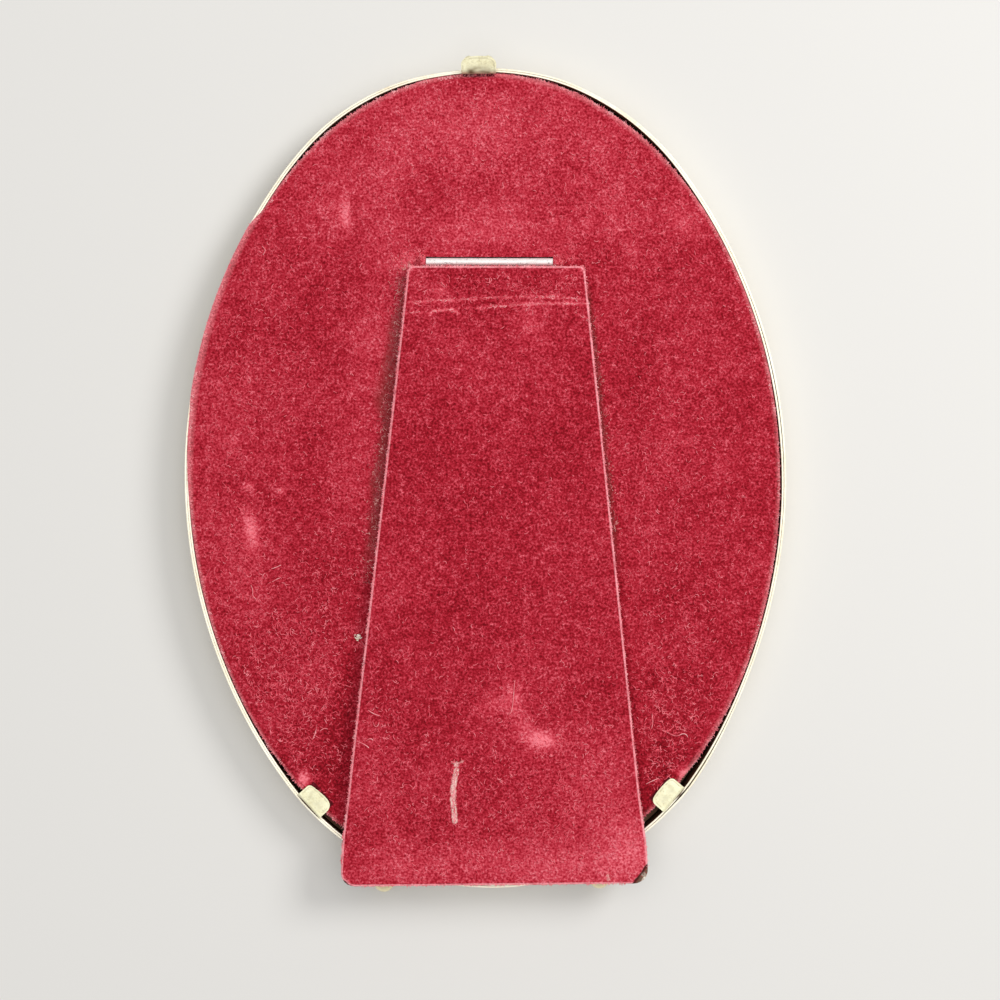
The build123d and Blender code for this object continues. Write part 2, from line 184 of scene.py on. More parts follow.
def velvetMaterial(name, look):
    material, tree, shader = newMaterial(name)
    place = objectPlace(tree)
    swirl = grain(tree, place, look["wormSize"], 2, output="Color")
    bent = addNode(tree, "VectorMath", {0: swirl, 1: (look["bend"],) * 3, 2: place},
                   operation="MULTIPLY_ADD").outputs[0]
    specks = grain(tree, place, look["speckSize"], 2, 0.6)
    clumps = grain(tree, bent, look["clumpSize"], 3, 0.6)
    clouds = grain(tree, place, look["cloudSize"], 3, 0.55)
    field = grain(tree, bent, look["wormSize"], 1.5, 0.5)
    offLine = sums(tree, "ABSOLUTE", sums(tree, "SUBTRACT", field, 0.5))
    worms = sums(tree, "MULTIPLY", between(tree, offLine, 0, look["wormWidth"], 1, 0),
                 between(tree, clumps, 0.4, 0.6))
    tone = look["toneShift"]
    for value, share in zip((specks, clumps, clouds, worms, painted(tree, "napAndPaintedLight")), look["toneShares"]):
        tone = sums(tree, "MULTIPLY_ADD", value, share, tone)
    colour = ramp(tree, between(tree, tone, 0.3, 1.4), [
        (0.0, look["deep"]),
        (0.2, look["shade"]),
        (0.38, look["body"]),
        (0.6, look["lit"]),
        (0.95, look["fluff"]),
    ])
    uneven = between(tree, specks, 0.36, 0.6, 0.25, 1)
    paleEdgeBreakUp = between(tree, specks, 0.36, 0.55, 0.6, 1)
    # Layers: dust, bare places, pale edges that are partly a painted highlight, scuffs, and painted shade
    for layer in ("dust", "bare", "frayAndHighlight", "scuff", "paintedShadeAndDark"):
        breaks = {"frayAndHighlight": paleEdgeBreakUp, "paintedShadeAndDark": 1}.get(layer, uneven)
        share = sums(tree, "MULTIPLY", painted(tree, layer), breaks)
        colour = mixed(tree, share, colour, look[layer])
    height = sums(tree, "MULTIPLY_ADD", specks, 0.7, sums(tree, "MULTIPLY_ADD", clumps, 0.5, worms))
    setInputs(tree, shader, {
        "Base Color": colour,
        "Roughness": 0.92,
        "Specular IOR Level": 0.15,
        "Sheen Weight": look["sheen"],
        "Sheen Roughness": 0.45,
        "Sheen Tint": rgb(250, 150, 160),
        "Normal": bumped(tree, height, 0.8, look["bumpHeight"]),
    })
    return material


# Loose fibres of the pile: pale pink to nearly white, a few crimson
def fluffMaterial(name, stops):
    material, tree, shader = newMaterial(name)
    tint = grain(tree, objectPlace(tree), 2.2 * mm, 2)
    setInputs(tree, shader, {
        "Base Color": ramp(tree, tint, stops),
        "Roughness": 0.85,
        "Specular IOR Level": 0.2,
    })
    return material


# Brass that was bright once: brushed, with brown tarnish in spots, and brown where its points say so, partly
# tarnish and partly painted shade
def brassMaterial(name, look):
    material, tree, shader = newMaterial(name)
    place = objectPlace(tree)
    cloud = grain(tree, place, look["cloudSize"], 5, 0.62)
    specks = grain(tree, place, look["speckSize"], 4, 0.7)
    brushed = addNode(tree, "Mapping", {"Vector": place, "Scale": look["brush"]}).outputs[0]
    lines = grain(tree, brushed, look["lineSize"], 3, 0.6)
    metal = ramp(tree, sums(tree, "MULTIPLY_ADD", lines, 0.5, sums(tree, "MULTIPLY", cloud, 0.5)), [
        (0.3, look["shade"]),
        (0.52, look["body"]),
        (0.7, look["pale"]),
    ])
    spots = between(tree, specks, look["spotFrom"], look["spotFrom"] + 0.1, 0, look["spotShare"])
    dull = sums(tree, "MAXIMUM", spots, painted(tree, "tarnishAndShade"))
    colour = mixed(tree, dull, metal, look["tarnishAndShade"])
    rough = between(tree, lines, 0.3, 0.7, look["rough"] - 0.06, look["rough"] + 0.08)
    setInputs(tree, shader, {
        "Base Color": colour,
        "Metallic": between(tree, dull, 0, 1, look["metal"], 0.1),
        "Roughness": mixed(tree, dull, rough, (0.62, 0.62, 0.62, 1)),
        "Normal": bumped(tree, sums(tree, "ADD", lines, specks), 0.25, look["bump"]),
    })
    return material


rimBrass = {
    "pale": rgb(254, 250, 238),
    "body": rgb(250, 243, 222),
    "shade": rgb(232, 216, 182),
    "tarnishAndShade": rgb(92, 62, 38),
    "metal": 0.65,
    "cloudSize": 9 * mm,
    "speckSize": 0.7 * mm,
    "spotFrom": 0.68,
    "spotShare": 1,
    "lineSize": 0.5 * mm,
    "brush": (1, 1, 6),
    "rough": 0.42,
    "bump": 0.02 * mm,
}
tabBrass = dict(
    rimBrass,
    pale=rgb(254, 252, 220),
    body=rgb(250, 246, 208),
    shade=rgb(230, 222, 178),
    tarnishAndShade=rgb(104, 80, 50),
    metal=0.4,
    cloudSize=2.2 * mm,
    speckSize=0.45 * mm,
    spotFrom=0.57,
    spotShare=0.4,
    rough=0.5,
)
# The top tab's brass is a darker copy, a painted shade for the tab that stands tilted to the light
shadedTopTabBrass = dict(tabBrass, pale=rgb(242, 238, 208), body=rgb(234, 228, 192), shade=rgb(208, 198, 156))
frontBrass = dict(
    rimBrass,
    body=rgb(226, 196, 128),
    pale=rgb(240, 220, 164),
    shade=rgb(188, 150, 84),
    metal=1.0,
    rough=0.24,
    spotFrom=0.74,
)
footBrass = dict(rimBrass, body=rgb(252, 240, 198), shade=rgb(228, 208, 158), rough=0.36, metal=0.55)


# Tinned sheet of the hinge: nearly white, scratched along its length
tinnedSheet = {
    "white": rgb(252, 248, 244),
    "grey": rgb(226, 216, 210),
    "dark": rgb(96, 76, 66),
    "scratch": (0.25, 5, 5),
}


def tinMaterial(name, look):
    material, tree, shader = newMaterial(name)
    place = objectPlace(tree)
    along = addNode(tree, "Mapping", {"Vector": place, "Scale": look["scratch"]}).outputs[0]
    lines = grain(tree, along, 1.1 * mm, 4, 0.7)
    specks = grain(tree, place, 0.5 * mm, 3, 0.7)
    colour = ramp(tree, lines, [(0.34, look["grey"]), (0.5, look["white"])])
    worn = between(tree, sums(tree, "MULTIPLY", lines, specks), 0.31, 0.4, 0, 0.8)
    setInputs(tree, shader, {
        "Base Color": mixed(tree, worn, colour, look["dark"]),
        "Metallic": 0.3,
        "Roughness": between(tree, lines, 0.3, 0.7, 0.34, 0.52),
        "Normal": bumped(tree, lines, 0.3, 0.02 * mm),
    })
    return material


# Card, board and paper: fibres, flecks and a little unevenness
def paperMaterial(name, pale, deep, fleck, rough=0.85):
    material, tree, shader = newMaterial(name)
    place = objectPlace(tree)
    fibres = grain(tree, place, 0.6 * mm, 5, 0.7)
    cloud = grain(tree, place, 14 * mm, 4, 0.6)
    tone = sums(tree, "MULTIPLY_ADD", fibres, 0.45, sums(tree, "MULTIPLY", cloud, 0.55))
    colour = ramp(tree, tone, [(0.34, deep), (0.62, pale)])
    flecks = between(tree, grain(tree, place, 0.35 * mm, 2, 0.5), 0.66, 0.74)
    setInputs(tree, shader, {
        "Base Color": mixed(tree, flecks, colour, fleck),
        "Roughness": rough,
        "Normal": bumped(tree, fibres, 0.35, 0.05 * mm),
    })
    return material


def steelMaterial(name, pale, deep, rough):
    material, tree, shader = newMaterial(name)
    place = objectPlace(tree)
    cloud = grain(tree, place, 1.6 * mm, 5, 0.65)
    setInputs(tree, shader, {
        "Base Color": ramp(tree, cloud, [(0.38, deep), (0.62, pale)]),
        "Metallic": 1.0,
        "Roughness": between(tree, cloud, 0.3, 0.7, rough + 0.12, rough - 0.06),
        "Normal": bumped(tree, cloud, 0.3, 0.02 * mm),
    })
    return material


def glassMaterial(name):
    material, tree, shader = newMaterial(name)
    ripple = grain(tree, objectPlace(tree), 30 * mm, 2)
    setInputs(tree, shader, {
        "Base Color": rgb(244, 250, 247),
        "Roughness": 0.02,
        "IOR": 1.5,
        "Alpha": 0.2,
        "Transmission Weight": 1.0,
        "Normal": bumped(tree, ripple, 0.05, 0.05 * mm),
    })
    return material


strutPile = dict(crimsonPile, cloudSize=16 * mm, frayAndHighlight=rgb(255, 166, 174))
paint = {
    "velvet": velvetMaterial("crimsonPile", crimsonPile),
    "strutVelvet": velvetMaterial("strutPile", strutPile),
    "fluff": fluffMaterial("pileFluff", [
        (0.35, rgb(222, 96, 108)),
        (0.5, rgb(246, 142, 150)),
        (0.65, rgb(253, 186, 188)),
    ]),
    "lint": fluffMaterial("paleLint", [
        (0.35, rgb(204, 56, 74)),
        (0.5, rgb(234, 92, 108)),
        (0.68, rgb(250, 140, 150)),
    ]),
    "dustLint": fluffMaterial("dustyLint", [
        (0.35, rgb(170, 74, 80)),
        (0.5, rgb(214, 122, 122)),
        (0.65, rgb(250, 184, 178)),
    ]),
    "fleck": fluffMaterial("whiteFleck", [
        (0.35, rgb(250, 232, 210)),
        (0.5, rgb(255, 248, 236)),
        (0.65, rgb(255, 255, 252)),
    ]),
    "rim": brassMaterial("rimBrass", rimBrass),
    "tab": brassMaterial("tabBrass", tabBrass),
    "topTab": brassMaterial("shadedTopTabBrass", shadedTopTabBrass),
    "front": brassMaterial("frontBrass", frontBrass),
    "foot": brassMaterial("footBrass", footBrass),
    "tin": tinMaterial("tinnedSheet", tinnedSheet),
    "darkSteel": steelMaterial("darkSteel", rgb(92, 84, 80), rgb(46, 40, 38), 0.4),
    "rivet": steelMaterial("rivetSteel", rgb(190, 182, 170), rgb(120, 110, 100), 0.35),
    "board": paperMaterial("blackBoard", rgb(40, 36, 36), rgb(22, 20, 21), rgb(92, 84, 82)),
    "packing": paperMaterial("packingCard", rgb(108, 78, 54), rgb(78, 56, 38), rgb(112, 88, 62)),
    "lining": paperMaterial("liningPaper", rgb(50, 36, 30), rgb(32, 22, 18), rgb(84, 64, 52)),
    "strutLining": paperMaterial("strutLining", rgb(60, 40, 40), rgb(40, 26, 28), rgb(98, 76, 70)),
    "picture": paperMaterial("picturePaper", rgb(232, 224, 206), rgb(212, 200, 176), rgb(196, 180, 150)),
    "glass": glassMaterial("clearGlass"),
}
print("materials made")


# Small tools for shapes
def placePiece(name, mesh, material, body=None, replaced=()):
    mesh.materials.clear()
    mesh.materials.append(material)
    piece = bpy.data.objects.new(name, mesh)
    bpy.context.scene.collection.objects.link(piece)
    if body:
        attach(piece, body)
    if replaced:
        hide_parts(*replaced)
    return piece


def asPiece(name, bm, material, body=None, replaced=(), sharp=38):
    mesh = bpy.data.meshes.new(name)
    bm.to_mesh(mesh)
    bm.free()
    mesh.shade_smooth()
    mesh.set_sharp_from_angle(angle=math.radians(sharp))
    return placePiece(name, mesh, material, body, replaced)


def joinDoubles(bm, distance=0.002 * mm):
    bmesh.ops.remove_doubles(bm, verts=bm.verts, dist=distance)
    bmesh.ops.recalc_face_normals(bm, faces=bm.faces)


def smoothStep(value, low, high):
    share = min(1, max(0, (value - low) / (high - low)))
    return share * share * (3 - 2 * share)


def bell(away):  # 1 in the middle, falling off softly
    return math.exp(-away**2)


def wave(point, size, amount=1.0):  # soft unevenness of a hand-made surface
    return amount * noise.noise(point / size)


def lathe(bm, points, centre, axis, steps, closed=False):
    verts = [bm.verts.new(point) for point in points]
    edges = [bm.edges.new((verts[i - 1], verts[i])) for i in range(0 if closed else 1, len(verts))]
    bmesh.ops.spin(bm, geom=verts + edges, cent=centre, axis=axis, angle=math.radians(360), steps=steps,
                   use_merge=True, use_duplicate=False)


def roundEdges(bm, edges, size, segments, **more):
    bmesh.ops.bevel(bm, geom=edges, offset=size, offset_type="OFFSET", segments=segments, profile=0.5,
                    affect="EDGES", material=-1, **more)


# The rim's oval, as four arcs that meet smoothly; insets count inwards from its outer face
rim = {
    "halfWidth": 67.0 * mm,
    "halfLength": 91.5 * mm,
    "wall": 0.44 * mm,
    "gap": 0.03 * mm,
    "band": 0.43 * mm,
    "edgeRound": 0.07 * mm,
    "innerSide": 0.1 * mm,
    "stepLength": 1.6 * mm,
    "wobble": 0.06 * mm,
    "wobbleSize": 22 * mm,
    "brightDepth": 0.12 * mm,
    "darkDepth": 0.45 * mm,
}
rim["top"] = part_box("outer_wall")[1].z
rim["centre"] = Vector((0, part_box("outer_wall")[0].y + rim["halfLength"], 0))
rim["bandOuter"] = rim["wall"] + rim["gap"]
rim["bandInner"] = rim["bandOuter"] + rim["band"]
chord = math.hypot(rim["halfWidth"], rim["halfLength"])
excess = rim["halfLength"] - rim["halfWidth"]
rim["endRadius"] = (chord - excess) / 2 * chord / rim["halfLength"]
rim["sideRadius"] = (chord + excess) / 2 * chord / rim["halfWidth"]
endCentre = rim["halfLength"] - rim["endRadius"]
sideCentre = rim["sideRadius"] - rim["halfWidth"]
joinAngle = math.atan2(endCentre, sideCentre)


def ovalStretches(gapFrom=0.0, gapTo=0.0):  # the arcs round the oval, from a gap at the bottom and back
    bottom = math.radians(-90)
    gapStart = bottom + math.asin(gapTo / rim["endRadius"])
    gapEnd = bottom + math.radians(360) + math.asin(gapFrom / rim["endRadius"])
    half = math.radians(180)
    return [
        (Vector((0, -endCentre, 0)), rim["endRadius"], gapStart, -joinAngle),
        (Vector((-sideCentre, 0, 0)), rim["sideRadius"], -joinAngle, joinAngle),
        (Vector((0, endCentre, 0)), rim["endRadius"], joinAngle, half - joinAngle),
        (Vector((sideCentre, 0, 0)), rim["sideRadius"], half - joinAngle, half + joinAngle),
        (Vector((0, -endCentre, 0)), rim["endRadius"], half + joinAngle, gapEnd),
    ]


def sweepSection(bm, section, stretches, closed=True):  # turns a section of (inset, height) along the arcs
    for centre, radius, start, end in stretches:
        spinCentre = rim["centre"] + centre
        outward = Vector((math.cos(start), math.sin(start), 0))
        loop = []
        for inset, height in section:
            loop.append(bm.verts.new(spinCentre + outward * (radius - inset) + up * height))
        edges = [bm.edges.new((loop[i - 1], loop[i])) for i in range(0 if closed else 1, len(loop))]
        steps = max(2, round(radius * (end - start) / rim["stepLength"]))
        bmesh.ops.spin(bm, geom=loop + edges, cent=spinCentre, axis=up, angle=end - start,
                       steps=steps, use_merge=False, use_duplicate=False)
    bmesh.ops.remove_doubles(bm, verts=bm.verts, dist=0.002 * mm)
    openEdges = [edge for edge in bm.edges if edge.is_boundary]
    if openEdges:
        bmesh.ops.holes_fill(bm, edges=openEdges)
    bmesh.ops.recalc_face_normals(bm, faces=bm.faces)


def quarterBend(centreInset, centreHeight, radius, startAngle, endAngle, steps):
    points = []
    for step in range(steps + 1):
        angle = math.radians(startAngle + (endAngle - startAngle) * step / steps)
        points.append((centreInset + radius * math.cos(angle), centreHeight + radius * math.sin(angle)))
    return points


def stripSection(insetFrom, insetTo, low, high, rounding):  # a strip on edge with its top corners rounded
    middle = high - rim["darkDepth"]
    section = [(insetFrom, low), (insetFrom, middle)]
    for centre, startAngle in ((insetFrom + rounding, 180), (insetTo - rounding, 90)):
        section += quarterBend(centre, high - rounding, rounding, startAngle, startAngle - 90, 3)
    return section + [(insetTo, middle), (insetTo, low)]


def rimPlace(point):  # how far inside the oval a point lies, and the way outwards from it
    away = point - rim["centre"]
    acrossSign, alongSign = math.copysign(1, away.x), math.copysign(1, away.y)
    across, along = abs(away.x), abs(away.y)
    if math.atan2(along, across + sideCentre) < joinAngle:
        reach = Vector((across + sideCentre, along, 0))
        radius = rim["sideRadius"]
    else:
        reach = Vector((across, along - endCentre, 0))
        radius = rim["endRadius"]
    outward = reach.normalized()
    return radius - reach.length, Vector((outward.x * acrossSign, outward.y * alongSign, 0))


def bumpsRound(bumps, angle):  # a value round the oval, as soft bumps at (middle angle, spread, amount)
    total = 0
    for middle, spread, amount in bumps:
        apart = abs((angle - middle + 180) % 360 - 180)
        total += amount * bell(apart / spread)
    return total


# Where the strips' free edges were bent out of true, by the angle of their outward side
wallBends = [
    (325, 8, 0.68 * mm),
    (312, 7, 0.2 * mm),
    (141, 12, -0.4 * mm),
    (97, 8, -0.35 * mm),
    (71, 8, 0.22 * mm),
    (228, 14, -0.18 * mm),
    (265, 9, -0.24 * mm),
    (10, 12, 0.12 * mm),
]
bandBends = [
    (326, 8, 0.46 * mm),
    (312, 7, 0.18 * mm),
    (141, 12, -0.4 * mm),
    (97, 8, -0.25 * mm),
    (71, 8, 0.15 * mm),
    (60, 12, 0.1 * mm),
    (228, 14, -0.18 * mm),
    (265, 9, -0.24 * mm),
]


def angleOf(direction):
    return math.degrees(math.atan2(direction.y, direction.x)) % 360


def bendStrip(bm, low, bends):  # a strip bent by hand is out of true towards its free edge
    for vert in bm.verts:
        share = smoothStep(vert.co.z, low, rim["top"])
        flat = Vector((vert.co.x, vert.co.y, 0))
        outward = rimPlace(flat)[1]
        bend = wave(flat, rim["wobbleSize"], rim["wobble"]) + bumpsRound(bends, angleOf(outward))
        vert.co += outward * bend * share


# Where the wall leans away from the band, light falls into the groove and the painted shade there is left
# off; behind the ears the band gets a painted shadow
openGroove = [(327, 8, 0.9)]
earLines = [(218.4, 225.2), (318.8, 321.7)]
earLineReach = 0.06 * mm


def tarnishAndShadeSides(bm, darkFrom):  # brown on the strip's sides, from a way down below the free edge: partly tarnish, partly painted shade in the groove
    tarnishAndShade = bm.verts.layers.float.new("tarnishAndShade")
    for vert in bm.verts:
        inset, outward = rimPlace(vert.co)
        angle = angleOf(outward)
        depth = smoothStep(rim["top"] - vert.co.z, rim["brightDepth"], rim["darkDepth"])
        lit = bumpsRound(openGroove, angle) if inset < rim["bandInner"] - rim["innerSide"] else 0
        inLine = any(start < angle < end for start, end in earLines)
        behindEar = inLine and inset > rim["wall"] - earLineReach
        vert[tarnishAndShade] = max(behindEar, depth * (1 - lit) if inset > darkFrom else 0)


# Outer wall: a strip whose ends meet at the bottom, over a lap inside
seam = {"from": 2.85 * mm, "to": 3.0 * mm, "lapFrom": 2.25 * mm, "lapTo": 4.95 * mm, "bandGap": 0.2 * mm}


def outerWall():
    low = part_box("outer_wall")[0].z
    bm = bmesh.new()
    section = stripSection(0, rim["wall"], low, rim["top"], rim["edgeRound"])
    sweepSection(bm, section, ovalStretches(seam["from"], seam["to"]))
    lap = bmesh.new()
    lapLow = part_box("inner_band")[0].z
    section = stripSection(rim["wall"], rim["bandInner"], lapLow, rim["top"] + rim["gap"], rim["edgeRound"])
    bottom = math.radians(-90)
    start = bottom + math.asin(seam["lapFrom"] / rim["endRadius"])
    end = bottom + math.asin(seam["lapTo"] / rim["endRadius"])
    sweepSection(lap, section, [(Vector((0, -endCentre, 0)), rim["endRadius"], start, end)])
    lapMesh = bpy.data.meshes.new("lapMesh")
    lap.to_mesh(lapMesh)
    lap.free()
    bm.from_mesh(lapMesh)
    bpy.data.meshes.remove(lapMesh)
    tarnishAndShadeSides(bm, rim["wall"] / 2)
    bendStrip(bm, low, wallBends)
    return asPiece("outerWall", bm, paint["rim"], "frame", ["outer_wall"])


# Inner band: stands in the wall and carries the tabs
def innerBand():
    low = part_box("inner_band")[0].z
    bm = bmesh.new()
    section = stripSection(rim["bandOuter"], rim["bandInner"], low, rim["top"], rim["edgeRound"])
    window = ovalStretches(seam["lapFrom"] - seam["bandGap"], seam["lapTo"] + seam["bandGap"])
    sweepSection(bm, section, window)
    tarnishAndShadeSides(bm, 0)
    bendStrip(bm, low, bandBends)
    return asPiece("innerBand", bm, paint["rim"], "frame", ["inner_band"])


# Front moulding: pressed sheet with a round bead, a flat web and a lip at the sight edge
moulding = {
    "sheet": 0.5 * mm,
    "bead": 1.1 * mm,
    "land": 0.8 * mm,
    "sight": 7.4 * mm,
    "lipWidth": 0.9 * mm,
    "lipLand": 0.45 * mm,
    "lipDrop": 0.5 * mm,
    "bendSteps": 6,
}


def frontMoulding():
    bead, sheet, steps = moulding["bead"], moulding["sheet"], moulding["bendSteps"]
    start = rim["wall"]
    landStart = start + bead
    landEnd = landStart + moulding["land"]
    lipLow = bead - moulding["lipDrop"]
    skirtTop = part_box("inner_band")[0].z
    outside = [(start, skirtTop)]
    outside += quarterBend(landStart, bead, bead, 180, 270, steps)
    outside += quarterBend(landEnd, bead, bead, 270, 360, steps)
    outside += [
        (moulding["sight"] - moulding["lipWidth"], bead),
        (moulding["sight"] - moulding["lipLand"], lipLow),
        (moulding["sight"], lipLow),
    ]
    inside = [(moulding["sight"], bead + sheet)]
    inside += [(landEnd + bead, bead + sheet)]
    inside += quarterBend(landEnd, bead, bead - sheet, 360, 270, steps)
    inside += quarterBend(landStart, bead, bead - sheet, 270, 180, steps)
    inside += [(start + sheet, skirtTop)]
    bm = bmesh.new()
    sweepSection(bm, outside + inside, ovalStretches())
    return asPiece("frontMoulding", bm, paint["front"], "frame", ["front_moulding"])


# The glass stands a hair off the picture, and its ground edge is broken
pane = {"edge": 0.15 * mm, "backGap": 0.04 * mm}


def glassPane():
    low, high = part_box("glass")
    inset = rim["halfWidth"] - (high.x - low.x) / 2
    front, rear, edge = low.z, high.z - pane["backGap"], pane["edge"]
    section = [(inset + edge, front), (inset, front + edge), (inset, rear - edge), (inset + edge, rear)]
    bm = bmesh.new()
    sweepSection(bm, section, ovalStretches(), closed=False)
    return asPiece("glassPane", bm, paint["glass"], "frame", ["glass"])


# Ball feet, turned, each on a collar and a neck under the bottom of the rim
foot = {
    "ball": 2.37 * mm,
    "neck": 1.15 * mm,
    "collar": 1.75 * mm,
    "collarHeight": 0.6 * mm,
    "collarGap": 0.5 * mm,
    "edge": 0.12 * mm,
    "sink": 0.25 * mm,
    "sides": 40,
    "ballSteps": 12,
}


def ballFoot(name, node):
    low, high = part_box(node)
    axis = Vector(((low.x + high.x) / 2, low.y + foot["ball"], (low.z + high.z) / 2))
    collarLow = foot["ball"] + foot["collarGap"]
    collarHigh = collarLow + foot["collarHeight"]
    neckAngle = math.degrees(math.asin(foot["neck"] / foot["ball"]))
    profile = quarterBend(0, 0, foot["ball"], -90, 90 - neckAngle, foot["ballSteps"])
    edge = foot["edge"]
    profile += [
        (foot["neck"], collarLow),
        (foot["collar"] - edge, collarLow),
        (foot["collar"], collarLow + edge),
        (foot["collar"], collarHigh - edge),
        (foot["collar"] - edge, collarHigh),
        (foot["neck"], collarHigh),
        (foot["neck"], high.y - axis.y - foot["sink"]),
        (0, high.y - axis.y - foot["sink"]),
    ]
    bm = bmesh.new()
    points = [axis + Vector((radius, along, 0)) for radius, along in profile]
    lathe(bm, points, axis, (0, 1, 0), foot["sides"])
    joinDoubles(bm)
    return asPiece(name, bm, paint["foot"], "frame", [node], sharp=30)


outerWall()
innerBand()
frontMoulding()
glassPane()
ballFoot("leftFoot", "left_foot")
ballFoot("rightFoot", "right_foot")
print("brass rim, moulding and feet made")


# Tabs: blanks of the band's sheet, folded over the velvet, with a pressed line inside the free edges
tab = {
    "cell": 0.15 * mm,
    "thickness": 0.4 * mm,
    "lineInset": 0.45 * mm,
    "lineWidth": 0.11 * mm,
    "lineDepth": 0.07 * mm,
    "edgeBevel": 0.06 * mm,
    "crown": 0.06 * mm,
    "bendHalf": 0.35 * mm,
    "bendHeight": 0.2 * mm,
    "blotchSize": 0.9 * mm,
    "blotchSlice": 0.4 * mm,
    "grooveTop": -0.1 * mm,
    "grooveLow": -0.2 * mm,
    "grooveFade": 0.4 * mm,
    "rootShare": 0.35,
    "rootIn": 0.42 * mm,
    "rootDepth": 0.8 * mm,
    "shoulderIn": 0.1 * mm,
    "shoulderDrop": 0.06 * mm,
}


def tabPlace(jointName):  # the tab's hinge line with its ways down the rim and inwards
    origin, along = Vector(joints[jointName]["pos_m"]), Vector(joints[jointName]["axis"])
    inwards = up.cross(along)
    if inwards.dot(rim["centre"] - origin) < 0:
        along, inwards = -along, -inwards
    return origin, -along if along.y > 0 else along, inwards


def roundedPath(points, rounds):  # cuts a path's corners again and again until it is smooth
    for _ in range(rounds):
        cut = [points[0]]
        for first, second in zip(points, points[1:]):
            cut += [first.lerp(second, 0.25), first.lerp(second, 0.75)]
        points = cut + [points[-1]]
    return points


def pathPlace(path, distance):  # point and direction at a distance along a path
    for first, second in zip(path, path[1:]):
        run = (second - first).length
        if distance <= run or second is path[-1]:
            direction = (second - first).normalized()
            return first + direction * distance, direction
        distance -= run


def tabTarnishAndShade(look, offset, across, distance, share, level, pressed):  # how brown the brass is at a place: tarnish, and painted shade in the fold at the root
    centre, spread, strength = look["tarnishBand"]
    place = Vector((offset * look["blotchSquash"], distance, tab["blotchSlice"]))
    cloud = wave(place, tab["blotchSize"])
    fade = bell((share - centre) / spread) * (1 - smoothStep(abs(across), 0.5, 0.8))
    # Painted shade in the fold where the tab comes up out of the band
    start, end = look["groove"]
    groove = 1 - smoothStep(level, tab["grooveLow"], tab["grooveTop"])
    groove *= smoothStep(offset, start, start + tab["grooveFade"])
    groove *= 1 - smoothStep(offset, end - tab["grooveFade"], end)
    darkening = strength * fade * (0.75 + 1.1 * cloud) + 0.35 * pressed * (cloud > 0)
    darkening += groove * (share < tab["rootShare"])
    # Darker at the tab's foot
    root = look["footDarkening"] * (1 - smoothStep(share, 0.34, 0.46)) * (0.8 + 0.5 * cloud)
    return min(1, max(0, darkening, root))


def tabBlank(name, body, fold, look):
    # fold is the sheet's middle line in a plane across the hinge: (inwards, height) from the joint
    origin, along, inwards = tabPlace(body + "_bend")
    path = roundedPath([Vector((*step, 0)) for step in fold], 3)
    length = sum((b - a).length for a, b in zip(path, path[1:]))
    half = look["width"] / 2
    bm = bmesh.new()
    tarnishAndShade = bm.verts.layers.float.new("tarnishAndShade")
    bmesh.ops.create_grid(bm, x_segments=round(look["width"] / tab["cell"]),
                          y_segments=round(length / tab["cell"]), size=1)
    for vert in bm.verts:  # across runs from the tab's upper side to its lower side
        across, share = vert.co.x, (vert.co.y + 1) / 2
        corner = look["corners"][0] if across < 0 else look["corners"][1]
        distance = share * (length - look["bow"] * across**2 + look["slant"] * across)
        left = (1 - share) * length
        width = half
        if left < corner:
            width = half - corner + math.sqrt(max(0, corner**2 - (corner - left)**2))
        offset = across * width * (1 - look["pinch"] * (1 - share))
        edgeDistance = min(width - abs(offset), left)
        if left < corner and abs(offset) > half - corner:
            edgeDistance = corner - math.hypot(abs(offset) - half + corner, corner - left)
        pressed = bell((edgeDistance - tab["lineInset"]) / tab["lineWidth"]) * smoothStep(share, 0.3, 0.5)
        spot, direction = pathPlace(path, min(distance, length))
        if distance > length:
            spot = spot + direction * (distance - length)
        crownDrop = tab["crown"] * across**2 * smoothStep(share, 0.2, 0.6)
        lift = tab["thickness"] / 2 - crownDrop - tab["lineDepth"] * pressed
        place = spot + Vector((-direction.y, direction.x, 0)) * lift
        vert.co = origin + inwards * place.x + up * place.y + along * (offset + look["slide"])
        vert[tarnishAndShade] = tabTarnishAndShade(look, offset, across, distance, share, place.y, pressed)
    bmesh.ops.recalc_face_normals(bm, faces=bm.faces)
    if sum(face.normal.z for face in bm.faces) < 0:
        bmesh.ops.reverse_faces(bm, faces=bm.faces)
    bmesh.ops.solidify(bm, geom=bm.faces, thickness=tab["thickness"])
    bmesh.ops.recalc_face_normals(bm, faces=bm.faces)
    sharpEdges = [edge for edge in bm.edges if edge.is_manifold and edge.calc_face_angle() > math.radians(60)]
    roundEdges(bm, sharpEdges, tab["edgeBevel"], 2, clamp_overlap=True)
    piece = asPiece(name, bm, paint[look["finish"]], None, [body], sharp=50)
    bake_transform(piece)


jointHeight = joints["left_tab_bend"]["pos_m"][2]
rootInwards = -tab["rootIn"]
rootLow = rim["top"] - tab["rootDepth"] - jointHeight
bandTop = rim["top"] - jointHeight
leftEar = {
    "width": 7.1 * mm,
    "length": 3.76 * mm,
    "corners": (1.1 * mm, 1.9 * mm),
    "slant": 0.22 * mm,
    "bow": 0.14 * mm,
    "slide": 0.4 * mm,
    "rootOut": -0.2 * mm,
    "pinch": 0,
    "groove": (-3.0 * mm, 3.4 * mm),
    "footDarkening": 0,
    "blotchSquash": 1,
    "tarnishBand": (0.6, 0.3, 0.18),
    "finish": "tab",
}
rightEar = dict(
    leftEar,
    length=3.48 * mm,
    corners=(1.2 * mm, 1.4 * mm),
    slant=0,
    slide=-0.05 * mm,
    rootOut=0.22 * mm,
    groove=(-3.6 * mm, 0.6 * mm),
)


